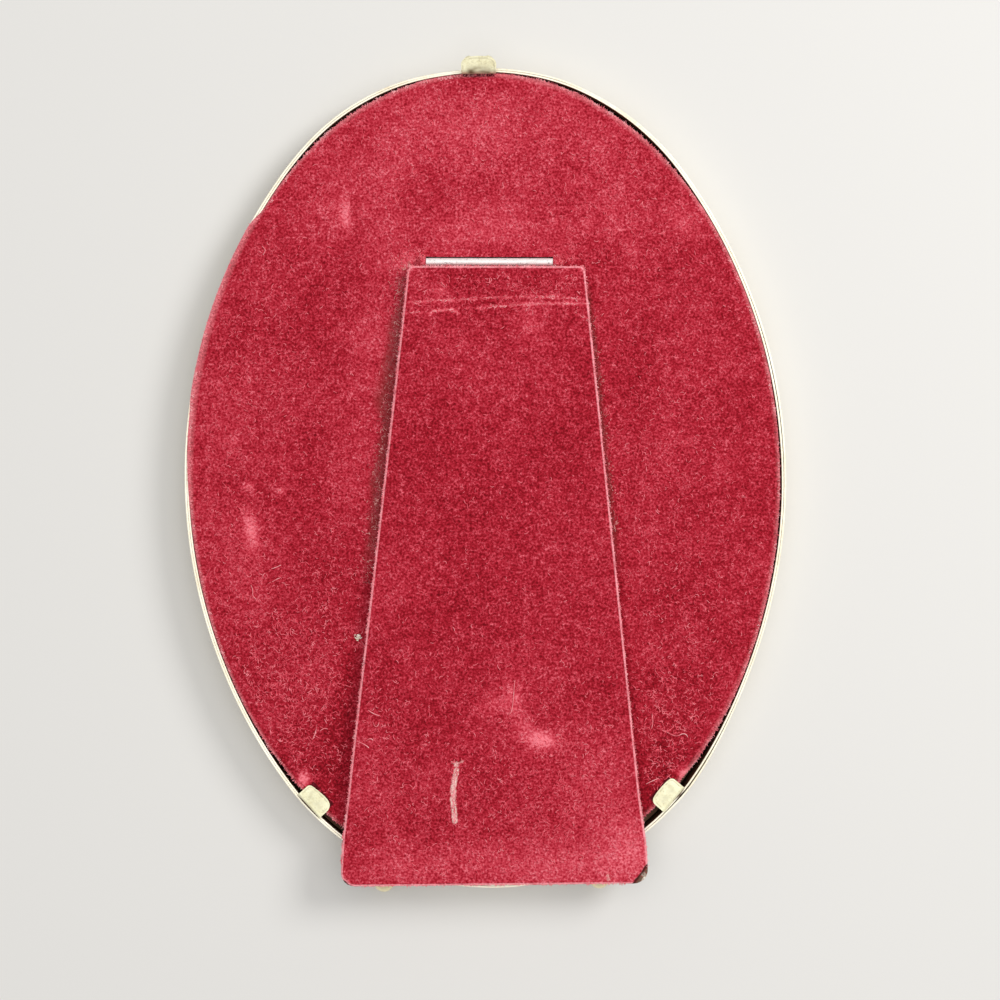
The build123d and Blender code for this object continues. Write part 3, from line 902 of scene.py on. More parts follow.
def earFold(look):  # up out of the band, in over the velvet, then flat
    start = rootInwards - look["rootOut"]
    shoulder = [(start / 2, -tab["shoulderDrop"]), (tab["shoulderIn"], 0)]
    return [(start, rootLow), (start, bandTop)] + shoulder + [(look["length"], 0)]


tabBlank("leftTab", "left_tab", earFold(leftEar), leftEar)
tabBlank("rightTab", "right_tab", earFold(rightEar), rightEar)


def leanArc(start, radius, leanFrom, leanTo, steps):  # a stretch of strip whose lean grows outwards
    angle = math.radians(leanFrom)
    centre = (start[0] - radius * math.cos(angle), start[1] - radius * math.sin(angle))
    return quarterBend(*centre, radius, leanFrom, leanTo, steps)[1:]


topTab = {
    "width": 7.9 * mm,
    "corners": (1.9 * mm, 1.9 * mm),
    "slant": 0,
    "bow": 0.2 * mm,
    "slide": 0,
    "pinch": 0.05,
    "groove": (9 * mm, 9.5 * mm),
    "footDarkening": 0.5,
    "blotchSquash": 0.5,
    "tarnishBand": (0.52, 0.13, 1.05),
    "finish": "topTab",
}
# The top tab swells inwards, curls out over the rim and runs nearly flat; leans in degrees
topCurl = {"bulge": 0.42 * mm, "radius": 1.36 * mm, "from": -30, "to": 75, "lip": 2.86 * mm, "lipTo": 85}
bulge = (topCurl["bulge"], 0)
lipRadius = topCurl["lip"] / math.radians(topCurl["lipTo"] - topCurl["to"])
topFold = [(rootInwards, rootLow), (rootInwards, bandTop), bulge]
topFold += leanArc(bulge, topCurl["radius"], topCurl["from"], topCurl["to"], 6)
topFold += leanArc(topFold[-1], lipRadius, topCurl["to"], topCurl["lipTo"], 3)
tabBlank("topTab", "top_tab", topFold, topTab)
print("tabs folded")


# Velvet sheets: a soft uneven face whose free edge rolls over and hangs down the board's side
pileWaves = {
    "wide": 15 * mm,
    "wideRise": 0.07 * mm,
    "small": 3.2 * mm,
    "smallRise": 0.035 * mm,
    "slice": 5 * mm,
}
pileLayers = ("napAndPaintedLight", "frayAndHighlight", "paintedShadeAndDark", "dust", "bare", "scuff")


def velvetRise(x, y):
    rise = wave(Vector((x, y, 0)), pileWaves["wide"], pileWaves["wideRise"])
    return rise + wave(Vector((x, y, pileWaves["slice"])), pileWaves["small"], pileWaves["smallRise"])


def velvetLayers(bm):
    return {name: bm.verts.layers.float.new(name) for name in pileLayers}


def edgeDirections(edges):  # outwards from the sheet, level, at each point of its free edge
    outward = {}
    for edge in edges:
        run = (edge.verts[1].co - edge.verts[0].co).normalized()
        away = (edge.verts[0].co + edge.verts[1].co) / 2 - edge.link_faces[0].calc_center_median()
        away.z = 0
        away -= run * away.dot(run)
        for vert in edge.verts:
            outward[vert] = outward.get(vert, Vector()) + away.normalized()
    return {vert: direction.normalized() for vert, direction in outward.items()}


def edgeRing(bm, width, frayAndHighlight, amount):  # a narrow ring of faces inside the free edge carries the pale line, partly wear and partly a painted highlight on the turned edge
    bmesh.ops.inset_region(bm, faces=bm.faces[:], thickness=width, use_boundary=True, use_even_offset=True)
    for vert in bm.verts:
        if vert.is_boundary:
            vert[frayAndHighlight] = amount


def hangEdge(bm, edges, steps, swell=None, frayAndHighlight=None, drop=None, paleFrom=1.0, paleTo=0.7):
    # steps are (outwards, down) from the free edge; swell adds to the way out, drop scales the way down
    outward = edgeDirections(edges)
    base = {}
    for vert, direction in outward.items():
        extra = swell(vert.co) if swell else 0
        base[vert] = (vert.co.copy(), direction, extra, drop(vert.co) if drop else 1)
    ring = set(base)
    for number, (out, down) in enumerate(steps):
        made = bmesh.ops.extrude_edge_only(bm, edges=edges)["geom"]
        newVerts = [item for item in made if isinstance(item, bmesh.types.BMVert)]
        nextBase = {}
        for vert in newVerts:
            old = next(edge.other_vert(vert) for edge in vert.link_edges if edge.other_vert(vert) in ring)
            start, direction, extra, dropShare = base[old]
            nextBase[vert] = base[old]
            share = out / max(step[0] for step in steps)
            vert.co = start + direction * (out + extra * share) - up * down * dropShare
            if frayAndHighlight:
                rolled = number / (len(steps) - 2) if number < len(steps) - 1 else None
                vert[frayAndHighlight] = 0 if rolled is None else paleFrom + (paleTo - paleFrom) * rolled
        base = nextBase
        ring = set(newVerts)
        edges = [item for item in made if isinstance(item, bmesh.types.BMEdge)
                 and all(vert in ring for vert in item.verts)]


def rollSteps(radius, depth, count=4):
    steps = []
    for number in range(1, count + 1):
        angle = math.radians(90 * number / count)
        steps.append((radius * math.sin(angle), radius * (1 - math.cos(angle))))
    return steps + [(radius, depth)]


back = {
    "cell": 0.64 * mm,
    "roll": 0.36 * mm,
    "hang": 2.7 * mm,
    "rimRoom": 1.02 * mm,
    "ring": 0.3 * mm,
    "ringPale": 0.12,
    "paleFrom": 0.25,
    "riseFade": 0.5 * mm,
    "coverFrom": 0.1 * mm,
    "wearSize": 3 * mm,
    "shadeLow": 1.1 * mm,
    "shadeHigh": 0.25 * mm,
}
back["low"], back["high"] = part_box("back_velvet")
back["centre"] = (back["low"] + back["high"]) / 2
back["halfWidth"] = (back["high"].x - back["low"].x) / 2
back["halfLength"] = (back["high"].y - back["low"].y) / 2
back["top"] = back["high"].z

hinge = {"centre": Vector(joints["strut_hinge"]["pos_m"]), "axis": Vector(joints["strut_hinge"]["axis"])}
hinge["turn"] = math.atan2(-hinge["axis"].y, -hinge["axis"].x)
hingePlace = Matrix.Translation((*hinge["centre"].xy, 0)) @ Matrix.Rotation(hinge["turn"], 4, "Z")
fromHinge = hingePlace.inverted()
slit = {"half": 14.17 * mm, "low": -1.0 * mm, "high": 1.25 * mm, "depth": 0.6 * mm, "lean": 0.02 * mm,
        "margin": 1.5 * mm}

# The velvet goes up over the hinge's ears at the two ends of the barrel
earCover = {"to": 15.1 * mm, "fade": 1.2 * mm, "radius": 0.93 * mm, "flat": 0.2 * mm, "slope": 1.7 * mm}
earCover["crest"] = hinge["centre"].z - back["top"]


def inHinge(place):  # a level place as seen from the hinge: across the strut and up it
    return fromHinge @ Vector((place.x, place.y, 0))


def coverRise(place):
    local = inHinge(place)
    radius = earCover["radius"]
    if abs(local.x) < slit["half"] - mm or local.y <= -radius:
        return 0
    ridge = radius + earCover["crest"]
    if local.y < 0:
        ridge = math.sqrt(radius**2 - local.y**2) + earCover["crest"]
    ridge *= 1 - smoothStep(local.y, earCover["flat"], earCover["slope"])
    return ridge * (1 - smoothStep(abs(local.x), earCover["to"], earCover["to"] + earCover["fade"]))


# How far the pile of the back reaches past its board, and how pale it is worn, by the angle round the oval
edgeReach = [
    (143, 12, -0.3 * mm),
    (205, 22, -0.25 * mm),
    (168, 14, 0.25 * mm),
    (70, 20, 0.12 * mm),
    (332, 10, 0.15 * mm),
    (90, 4.5, -0.1 * mm),
    (90, 60, 0.5 * mm),
    (180, 60, 0.48 * mm),
    (270, 60, 0.35 * mm),
    (0, 60, 0.4 * mm),
]
edgeWear = [
    (60, 45, 0.9),
    (125, 35, 1.0),
    (170, 40, 0.9),
    (225, 30, 0.6),
    (320, 30, 0.6),
    (0, 40, 0.35),
]


# On the left the pile lies out over the rim, then over its inner band only; angles round the oval
overRim = {"from": 148, "full": 151, "bandOnly": 170, "bandFull": 173, "to": 186, "bandShare": 0.62,
           "dropShare": 0.93, "dropRise": 4}


def overRimShare(angle):
    start = smoothStep(angle, overRim["from"], overRim["full"])
    middle = smoothStep(angle, overRim["bandOnly"], overRim["bandFull"])
    end = smoothStep(angle, overRim["bandFull"], overRim["to"])
    return start * (1 - (1 - overRim["bandShare"]) * middle) * (1 - end)


# The edge of the pile is ragged: fine and coarse waves, with the slice of noise that each reads
raggedEdge = {
    "fine": 1.6 * mm,
    "fineReach": 0.09 * mm,
    "coarse": 6 * mm,
    "coarseReach": 0.1 * mm,
    "slice": 9 * mm,
}


def backSwell(point):
    inset, outward = rimPlace(point)
    angle = angleOf(outward)
    flat = Vector((point.x, point.y, 0))
    ragged = wave(flat, raggedEdge["fine"], raggedEdge["fineReach"])
    ragged += wave(flat + up * raggedEdge["slice"], raggedEdge["coarse"], raggedEdge["coarseReach"])
    over = overRimShare(angle)
    room = inset + bumpsRound(bandBends, angle) - back["roll"] - back["rimRoom"] * (1 - over)
    return min(bumpsRound(edgeReach, angle) + ragged + over * back["rimRoom"], room)


def backDrop(point):  # where the pile lies over the rim, the edge hangs no lower than the rim's top
    over = overRimShare(angleOf(rimPlace(point)[1]))
    return 1 - overRim["dropShare"] * min(1, overRim["dropRise"] * over)


# Places where the pile lies another way, the broad ones partly painted light and shade, lighter at the top
# and darker low down: photo pixel, radii in pixels, turn, and how much paler it is
backPatches = [
    (345, 215, 5, 16, 5, 1.4),
    (251, 531, 6, 19, 10, 1.9),
    (249, 487, 6, 4, 0, 1.5),
    (280, 490, 4, 4, 0, 1.3),
    (235, 440, 4, 4, 0, 0.9),
    (408, 262, 14, 7, 0, 1.0),
    (575, 183, 14, 8, 20, 0.5),
    (685, 225, 16, 10, -30, 0.5),
    (632, 250, 8, 8, 0, 0.6),
    (304, 779, 6, 7, 0, 3.0),
    (684, 774, 6, 7, 40, 2.6),
    (480, 130, 130, 60, 0, 0.6),
    (330, 190, 60, 50, 30, 0.4),
    (640, 200, 60, 50, -30, 0.35),
    (480, 232, 100, 26, 0, 0.6),
    (220, 420, 40, 120, 4, 0.3),
    (720, 400, 40, 120, -4, 0.15),
    (240, 590, 50, 70, 20, 0.15),
    (700, 640, 60, 110, -8, -0.1),
    (320, 770, 30, 60, 30, -0.5),
    (655, 780, 24, 60, -30, -0.6),
    # Left of the strut: painted light higher up, painted shadow lower down
    (370, 370, 24, 110, -7, 0.45),
    (346, 715, 14, 80, -7, -0.55),
]
strutPatches = [
    (530, 322, 14, 20, 10, 0.6),
    (541, 740, 16, 8, -8, 2.3),
    (524, 726, 8, 7, 50, 0.9),
    (514, 702, 10, 18, 12, 0.9),
    (495, 704, 16, 9, 10, 0.6),
    (407, 268, 8, 3, 0, 1.6),
    (584, 268, 5, 4, 0, 1.2),
    (500, 866, 150, 22, 0, 0.75),
    (630, 850, 24, 30, 0, 0.7),
    (380, 800, 24, 70, 6, 0.35),
    (600, 800, 50, 60, -6, 0.55),
    (440, 291, 8, 5, 0, 0.8),
    (500, 560, 80, 170, 0, -0.12),
]


def patchTone(point, patches, height):
    tone = 0
    for u, v, wide, tall, turn, amount in patches:
        centre = fromPhoto(u, v, height)
        scale = (fromPhoto(u + 1, v, height) - centre).length
        away = (point - centre) / scale
        angle = math.radians(turn)
        across = away.x * math.cos(angle) + away.y * math.sin(angle)
        along = away.y * math.cos(angle) - away.x * math.sin(angle)
        tone += amount * bell(across / wide) * bell(along / tall)
    return tone


# The strut's outline in the hinge's own frame, down from the pin
strut = {
    "shift": 1.2 * mm,
    "top": -1.05 * mm,
    "topHalf": 19.9 * mm,
    "shoulder": -127.75 * mm,
    "shoulderHalf": 33.3 * mm,
    "foot": -138.05 * mm,
    "footHalf": 33.8 * mm,
    "corner": 3.3 * mm,
    "topCorner": 0.8 * mm,
    "cell": 0.7 * mm,
    "roll": 0.34 * mm,
    "cloth": 0.3 * mm,
    "hang": 2.25 * mm,
    "leftPinch": 0.68 * mm,
    "pinchDown": -106 * mm,
    "rightFlare": 0.5 * mm,
    "leftFlare": 0.26 * mm,
    "flareFrom": -117 * mm,
    "footTilt": 0.4 * mm,
    "footDrop": 0.16 * mm,
    "flareEnd": 4 * mm,
    "raggedWaves": [(1.5 * mm, 0.1 * mm), (6 * mm, 0.1 * mm)],
    "jagWave": (1.1 * mm, 0.3 * mm),
    "scrapeWave": (0.7 * mm, 0.16 * mm),
    "speckleSize": 0.5 * mm,
    "wearSize": 2.5 * mm,
    "shadeLow": 1.6 * mm,
    "shadeHigh": 0.5 * mm,
    "markReach": 1.0 * mm,
    "cutReach": 2.6 * mm,
    "ring": 0.2 * mm,
    "ringPale": 0.85,
    "riseFade": 0.4 * mm,
    "riseShift": 50 * mm,
    "riseShare": 0.8,
    "boardDrop": 0.06 * mm,
    "wornDepth": 0.16 * mm,
    "wornFade": 0.16 * mm,
}
strut["face"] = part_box("strut_velvet")[1].z


def strutHalf(y):  # half the strut's width at a place down its length, corners left out
    if y > strut["shoulder"]:
        share = (strut["top"] - y) / (strut["top"] - strut["shoulder"])
        return strut["topHalf"] + (strut["shoulderHalf"] - strut["topHalf"]) * share
    share = (strut["shoulder"] - y) / (strut["shoulder"] - strut["foot"])
    return strut["shoulderHalf"] + (strut["footHalf"] - strut["shoulderHalf"]) * share


def strutOutsideBy(point):  # level distance from a point to the strut's side, and which side
    local = inHinge(point)
    if not strut["foot"] < local.y < strut["top"]:
        return None, 0
    across = local.x - strut["shift"]
    return abs(across) - strutHalf(local.y), (1 if across > 0 else -1)


def cutWindow(bm, low, high, margin):  # cuts a straight window in the sheet, in the hinge's own frame
    level = hingePlace.to_3x3()

    def inside(face, spare):
        spot = inHinge(face.calc_center_median())
        return low.x - spare < spot.x < high.x + spare and low.y - spare < spot.y < high.y + spare

    for corner, normal in ((low, (1, 0, 0)), (low, (0, 1, 0)), (high, (1, 0, 0)), (high, (0, 1, 0))):
        near = [face for face in bm.faces if inside(face, margin)]
        geom = near + list({edge for face in near for edge in face.edges})
        geom += list({vert for face in near for vert in face.verts})
        bmesh.ops.bisect_plane(bm, geom=geom, plane_co=hingePlace @ corner, plane_no=level @ Vector(normal))
    bmesh.ops.delete(bm, geom=[face for face in bm.faces if inside(face, 0)], context="FACES")


# Beside the strut the pile gets painted light and shade, lighter on its left and a painted shadow on its
# right, with dust beside it; round the tabs lie painted shadows
besideStrut = {
    "shades": {-1: 2.4 * mm, 1: 2.2 * mm},
    "paintedLightAndShade": {-1: 0.25, 1: -0.3},
    "dusts": {-1: 2.9 * mm, 1: 1.2 * mm},
    "dustFrom": -56 * mm,
    "dustTo": -74 * mm,
    "dustClump": 7 * mm,
    "dustAmount": 0.5,
    "shadeFrom": -3 * mm,
    "shadeFull": -9 * mm,
}
# Joint, half width, from and to across the hinge line, slide along the rim, how far the shade reaches
tabShadows = [
    ("left_tab_bend", 3.55 * mm, 0.6 * mm, 3.85 * mm, 0.4 * mm, 0.5 * mm),
    ("right_tab_bend", 3.55 * mm, 0.6 * mm, 3.55 * mm, 0, 0.5 * mm),
    ("top_tab_bend", 3.8 * mm, 0, 0.55 * mm, 0, 0.4 * mm),
]
tabShadeShare = 0.85
tabRound = 0.5 * mm


def tabShade(point):
    shade = 0
    for jointName, half, near, far, slide, reach in tabShadows:
        origin, along, inwards = tabPlace(jointName)
        away = point - origin
        aside = max(0, abs(away.dot(along) - slide) - half + tabRound)
        beyond = max(0, near - away.dot(inwards), away.dot(inwards) - far)
        shade = max(shade, 1 - smoothStep(math.hypot(aside, beyond), 0.3 * reach, reach))
    return tabShadeShare * shade


def besideStrutShadeAndDust(flat):  # painted light and shade beside the strut, lighter on the left and a painted shadow on the right, and how much dust lies there
    outsideBy, side = strutOutsideBy(flat)
    if outsideBy is None:
        return 0, 0
    y = inHinge(flat).y
    down = smoothStep(y, besideStrut["shadeFrom"], besideStrut["shadeFull"])
    reach = besideStrut["shades"][side]
    shade = (1 - smoothStep(outsideBy, 0.2 * reach, reach)) * down * besideStrut["paintedLightAndShade"][side]
    reach = besideStrut["dusts"][side] * (1 + 1.2 * wave(flat, besideStrut["dustClump"]))
    if reach <= 0:
        return shade, 0
    dust = (1 - smoothStep(outsideBy, 0.4 * reach, reach)) * down
    return shade, dust * smoothStep(y, besideStrut["dustTo"], besideStrut["dustFrom"])


def refine(bm, cuts, isNear):  # finer faces where small forms and narrow marks are
    edges = list({edge for face in bm.faces if isNear(face.calc_center_median()) for edge in face.edges})
    bmesh.ops.subdivide_edges(bm, edges=edges, cuts=cuts, use_grid_fill=True)


def refineNear(bm, cuts, centre, radius):
    refine(bm, cuts, lambda place: (place.xy - centre.xy).length < radius)


fineEars = {"x": 15.3 * mm, "y": 0.3 * mm, "radius": 2.9 * mm}
fineTabs = {"inwards": 1.8 * mm, "radius": 4.8 * mm}


def backVelvet():
    bm = bmesh.new()
    layers = velvetLayers(bm)
    halfWidth = back["halfWidth"] - back["roll"]
    halfLength = back["halfLength"] - back["roll"]
    bmesh.ops.create_grid(bm, x_segments=round(2 * halfWidth / back["cell"]),
                          y_segments=round(2 * halfLength / back["cell"]), size=1)
    for vert in bm.verts:
        u, v = vert.co.x, vert.co.y
        x = back["centre"].x + halfWidth * u * math.sqrt(1 - v * v / 2)
        y = back["centre"].y + halfLength * v * math.sqrt(1 - u * u / 2)
        vert.co = Vector((x, y, back["top"]))
    # A pale line round the back's edge, partly worn pile and partly a painted highlight on the turned edge
    edgeRing(bm, back["ring"], layers["frayAndHighlight"], back["ringPale"])
    outerEdges = [edge for edge in bm.edges if edge.is_boundary]
    steps = rollSteps(back["roll"], back["hang"])
    hangEdge(bm, outerEdges, steps, backSwell, layers["frayAndHighlight"], backDrop, back["paleFrom"])
    for side in (-1, 1):
        refineNear(bm, 3, hingePlace @ Vector((side * fineEars["x"], fineEars["y"], 0)), fineEars["radius"])
    for jointName, *_ in tabShadows:
        origin, _, inwards = tabPlace(jointName)
        refineNear(bm, 2, origin + inwards * fineTabs["inwards"], fineTabs["radius"])
    low = Vector((-slit["half"], slit["low"], 0))
    high = Vector((slit["half"], slit["high"], 0))
    cutWindow(bm, low, high, slit["margin"])
    slitEdges = []
    for edge in bm.edges:
        spot = inHinge(edge.verts[0].co)
        if edge.is_boundary and abs(spot.x) < slit["half"] + mm and abs(spot.y) < 2 * mm:
            slitEdges.append(edge)
    hangEdge(bm, slitEdges, [(-slit["lean"], slit["depth"])],
             drop=lambda point: 1 + coverRise(point) / slit["depth"])
    bmesh.ops.recalc_face_normals(bm, faces=bm.faces)
    for vert in bm.verts:
        flat = Vector((vert.co.x, vert.co.y, 0))
        topShare = smoothStep(vert.co.z, back["top"] - back["riseFade"], back["top"])
        cover = coverRise(flat) * (vert.co.z > back["top"] - back["coverFrom"])
        vert.co.z += velvetRise(flat.x, flat.y) * topShare + cover
        shade, dust = besideStrutShadeAndDust(flat)
        tone = patchTone(flat + up * back["top"], backPatches, back["top"])
        # The pile's tone: patches, painted light and shade beside the strut, and paler where it rises over
        # the hinge's ears
        vert[layers["napAndPaintedLight"]] = tone + shade + 0.5 * min(1, cover / mm)
        vert[layers["dust"]] = besideStrut["dustAmount"] * dust
        wear = bumpsRound(edgeWear, angleOf(rimPlace(flat)[1])) + 0.6 * wave(flat, back["wearSize"])
        vert[layers["frayAndHighlight"]] *= min(1, max(0, wear))
        # Painted shade down the hanging edge, and painted shadows round the tabs
        paintedHangShade = 1 - smoothStep(vert.co.z, back["top"] - back["shadeLow"], back["top"] - back["shadeHigh"])
        vert[layers["paintedShadeAndDark"]] = max(paintedHangShade, tabShade(flat))
    return asPiece("backVelvet", bm, paint["velvet"], "frame", ["back_velvet"], sharp=80)


backSheet = backVelvet()
print("back velvet laid")


def strutEdgeX(side, y, inset):  # a point of the strut's side, a little off the board's line
    half = strutHalf(y) - inset
    corner = strut["corner"] - inset
    fromFoot = y - (strut["foot"] + inset)
    if fromFoot < corner:
        half -= corner - math.sqrt(max(0, corner**2 - (corner - fromFoot)**2))
    topCorner = strut["topCorner"] - inset
    fromTop = (strut["top"] - inset) - y
    if fromTop < topCorner:
        half -= topCorner - math.sqrt(max(0, topCorner**2 - (topCorner - fromTop)**2))
    flare = smoothStep(y, strut["flareFrom"], strut["foot"] + strut["flareEnd"])
    if side > 0:
        return strut["shift"] + half + strut["rightFlare"] * flare
    down = min(1, max(0, y / strut["pinchDown"]))
    pinch = strut["leftPinch"] * (1 - down**1.5)
    return strut["shift"] - half + pinch - strut["leftFlare"] * flare


# Corners of the strut's foot where the pile is worn off: photo pixels of the cut line, spot and sizes
wornCorner = {
    "from": (643.4, 867.5),
    "to": (633.6, 880.5),
    "spot": (643.4, 874.3),
    "reach": 30,
    "ringSize": 1.6,
    "ringWidth": 0.7,
    "outer": 1.4 * mm,
    "outerFade": 0.2 * mm,
    "shadeAt": 0.34 * mm,
}
rubbedCorner = {
    "from": (354, 887.2),
    "to": (340.4, 878.2),
    "spot": (340.4, 878.2),
    "reach": 30,
    "lineSpot": (347, 880),
    "lineReach": 8,
    "lineWidth": 0.2 * mm,
}

# A scraped streak and the creases near the hinge, as routes in photo pixels with half width and strength
strutScrapes = [
    ([(456.4, 770), (453.6, 785), (453, 800), (454.3, 812), (454.8, 821)], 0.62 * mm, 1.25),
    ([(456, 763.5), (456.3, 765.5)], 0.5 * mm, 1.1),
    ([(463, 761), (458, 763.5), (452, 762)], 0.22 * mm, 0.7),
    ([(608, 875.5), (608.5, 880)], 0.3 * mm, 0.8),
]
strutCreases = [
    ([(407.5, 302.6), (450, 300), (500, 297), (540, 296.4), (572, 298), (583, 300)], 0.34 * mm, 0.5),
    ([(477, 308), (520, 304.5), (560, 303.4), (588, 304)], 0.34 * mm, 0.6),
    ([(430, 314), (434, 310.5), (453, 309.5), (459, 313.5)], 0.3 * mm, 0.75),
    ([(408, 313), (430, 312)], 0.3 * mm, 0.3),
    ([(575, 312), (588, 319)], 0.3 * mm, 0.45),
]


def photoLine(points, height):
    return [fromPhoto(u, v, height).xy for u, v in points]


def fromLine(point, line):  # how far a point lies from a run of points
    nearest = 1.0
    for first, second in zip(line, line[1:]):
        run = second - first
        share = min(1, max(0, (point.xy - first).dot(run) / run.length_squared))
        nearest = min(nearest, (point.xy - first - run * share).length)
    return nearest


def beyondCut(point, cut):  # signed distance beyond a corner's cut line, towards the corner
    first, second = photoLine([cut["from"], cut["to"]], strut["face"])
    run = (second - first).normalized()
    away = point.xy - first
    return run.x * away.y - run.y * away.x


def pixelsFrom(point, spot):
    scale = (fromPhoto(1, 0, strut["face"]) - fromPhoto(0, 0, strut["face"])).length
    return (point.xy - fromPhoto(*spot, strut["face"]).xy).length / scale


def refineAlong(bm, cuts, lines, reach):
    refine(bm, cuts, lambda place: min(fromLine(place, line) for line in lines) < reach)


def strutGrid(bm, inset, cell, height):  # a sheet of the strut's outline, inset all round
    top, bottom = strut["top"] - inset, strut["foot"] + inset
    corner = strut["corner"] - inset
    rows = round((top - bottom) / cell)
    columns = round(2 * strut["footHalf"] / cell)
    bmesh.ops.create_grid(bm, x_segments=columns, y_segments=rows, size=1)
    cornerShare = corner / (top - bottom)
    rowShare = 2 * cornerShare
    for vert in bm.verts:
        across, share = vert.co.x, (vert.co.y + 1) / 2
        if share < rowShare:  # rows crowd towards the foot, so that its corners are round
            share = cornerShare * (1 - math.cos(math.radians(90) * share / rowShare)) * 2
        y = bottom + share * (top - bottom)
        leftX, rightX = strutEdgeX(-1, y, inset), strutEdgeX(1, y, inset)
        x = leftX + (across + 1) / 2 * (rightX - leftX)
        low = smoothStep(y, strut["flareFrom"], strut["foot"])
        y += (strut["footTilt"] * x / strut["footHalf"] - strut["footDrop"]) * low
        spot = hingePlace @ Vector((x, y, 0))
        vert.co = Vector((spot.x, spot.y, height))


def strutBoard():  # the board follows the covered outline, a little narrower at the left of the top
    low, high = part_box("strut_board")
    bm = bmesh.new()
    strutGrid(bm, strut["cloth"], 4 * strut["cell"], low.z)
    lifted = bmesh.ops.extrude_face_region(bm, geom=bm.faces[:])["geom"]
    for item in lifted:
        if isinstance(item, bmesh.types.BMVert):
            item.co.z = high.z - strut["boardDrop"]
    bmesh.ops.recalc_face_normals(bm, faces=bm.faces)
    return asPiece("strutBoard", bm, paint["board"], "strut", ["strut_board"])


def strutRise(place):
    return velvetRise(place.x + strut["riseShift"], place.y) * strut["riseShare"]


def inStrutPhoto(marks):  # marks given in photo pixels, as lines on the strut's face
    return [(photoLine(points, strut["face"]), half, strength) for points, half, strength in marks]


def strutSwell(point):  # the turned edge is ragged, but straight along the hinge
    flat = Vector((point.x, point.y, 0))
    if inHinge(flat).y > strut["top"] - 2 * strut["roll"]:
        return 0
    return sum(wave(flat, size, reach) for size, reach in strut["raggedWaves"])


def wornAway(flat, corner, jag):  # how far a place lies past a corner's cut line, and how bare it is
    past = beyondCut(flat, corner) + jag
    return past, smoothStep(past, 0, strut["wornFade"]) * (pixelsFrom(flat, corner["spot"]) < corner["reach"])


def scrapedShare(flat, scrapes):
    share = 0
    for line, half, strength in scrapes:
        away = fromLine(flat, line) + wave(flat, *strut["scrapeWave"])
        share = max(share, strength * (1 - smoothStep(away, 0.7 * half, half)))
    return share


def strutVelvet():
    bm = bmesh.new()
    layers = velvetLayers(bm)
    strutGrid(bm, strut["roll"], strut["cell"], strut["face"])
    # A pale line along the strut's edges, mostly a painted highlight on the turned edge and partly worn pile
    edgeRing(bm, strut["ring"], layers["frayAndHighlight"], strut["ringPale"])
    edges = [edge for edge in bm.edges if edge.is_boundary]
    hangEdge(bm, edges, rollSteps(strut["roll"], strut["hang"], 3), strutSwell, layers["frayAndHighlight"])
    creases, scrapes = inStrutPhoto(strutCreases), inStrutPhoto(strutScrapes)
    refineAlong(bm, 2, [line for line, _, _ in creases + scrapes], strut["markReach"])
    cuts = [photoLine([corner["from"], corner["to"]], strut["face"]) for corner in (wornCorner, rubbedCorner)]
    refineAlong(bm, 3, cuts, strut["cutReach"])
    bmesh.ops.recalc_face_normals(bm, faces=bm.faces)
    for vert in bm.verts:
        flat = Vector((vert.co.x, vert.co.y, 0))
        topShare = smoothStep(vert.co.z, strut["face"] - strut["riseFade"], strut["face"])
        jag = wave(flat, *strut["jagWave"])
        past, bare = wornAway(flat, wornCorner, jag)
        pastRubbed, rubbed = wornAway(flat, rubbedCorner, jag)
        vert.co.z += (strutRise(flat) - strut["wornDepth"] * max(bare, rubbed)) * topShare
        tone = patchTone(flat + up * strut["face"], strutPatches, strut["face"])
        speckle = 0.8 + 0.8 * wave(flat, strut["speckleSize"])
        for line, half, strength in creases:
            tone += 1.9 * strength * (0.5 + 0.5 * speckle) * bell(fromLine(flat, line) / half)
        vert[layers["napAndPaintedLight"]] = tone
        vert[layers["bare"]] = 1.4 * max(bare, rubbed)
        outer = bare * smoothStep(past, wornCorner["outer"], wornCorner["outer"] + wornCorner["outerFade"])
        fromSpot = pixelsFrom(flat, wornCorner["spot"])
        ring = bell((fromSpot - wornCorner["ringSize"]) / wornCorner["ringWidth"])
        scraped = scrapedShare(flat, scrapes)
        vert[layers["scuff"]] = max(outer, 0.7 * ring, 0.75 * scraped * speckle)
        # Darker just past the worn corner's cut line and over the rubbed corner
        shade = max(bare * bell(past / wornCorner["shadeAt"] - 1), 0.75 * rubbed)
        # Painted shade down the strut's hanging edge
        low, high = strut["face"] - strut["shadeLow"], strut["face"] - strut["shadeHigh"]
        paintedHangShade = 1 - smoothStep(vert.co.z, low, high)
        vert[layers["paintedShadeAndDark"]] = max(0.55 * paintedHangShade, 0.95 * shade)
        # The pale edge, partly a painted highlight, is broken up along the strut
        wear = 1.05 + 0.8 * wave(flat, strut["wearSize"])
        paleLine = bell(pastRubbed / rubbedCorner["lineWidth"] + 1)
        paleLine *= pixelsFrom(flat, rubbedCorner["lineSpot"]) < rubbedCorner["lineReach"]
        frayAndHighlight = max(vert[layers["frayAndHighlight"]] * min(1, max(0.5, wear)), 0.6 * scraped, 0.7 * paleLine)
        vert[layers["frayAndHighlight"]] = min(1, frayAndHighlight) * (1 - bare) * (1 - rubbed)
    return asPiece("strutVelvet", bm, paint["strutVelvet"], "strut", ["strut_velvet"],
                   sharp=80)


strutBoard()
strutSheet = strutVelvet()
print("strut velvet laid")


# Fluff: single fibres as thin tubes, all from one seeded draw
draw = random.Random(11)
fibreLift = 0.03 * mm


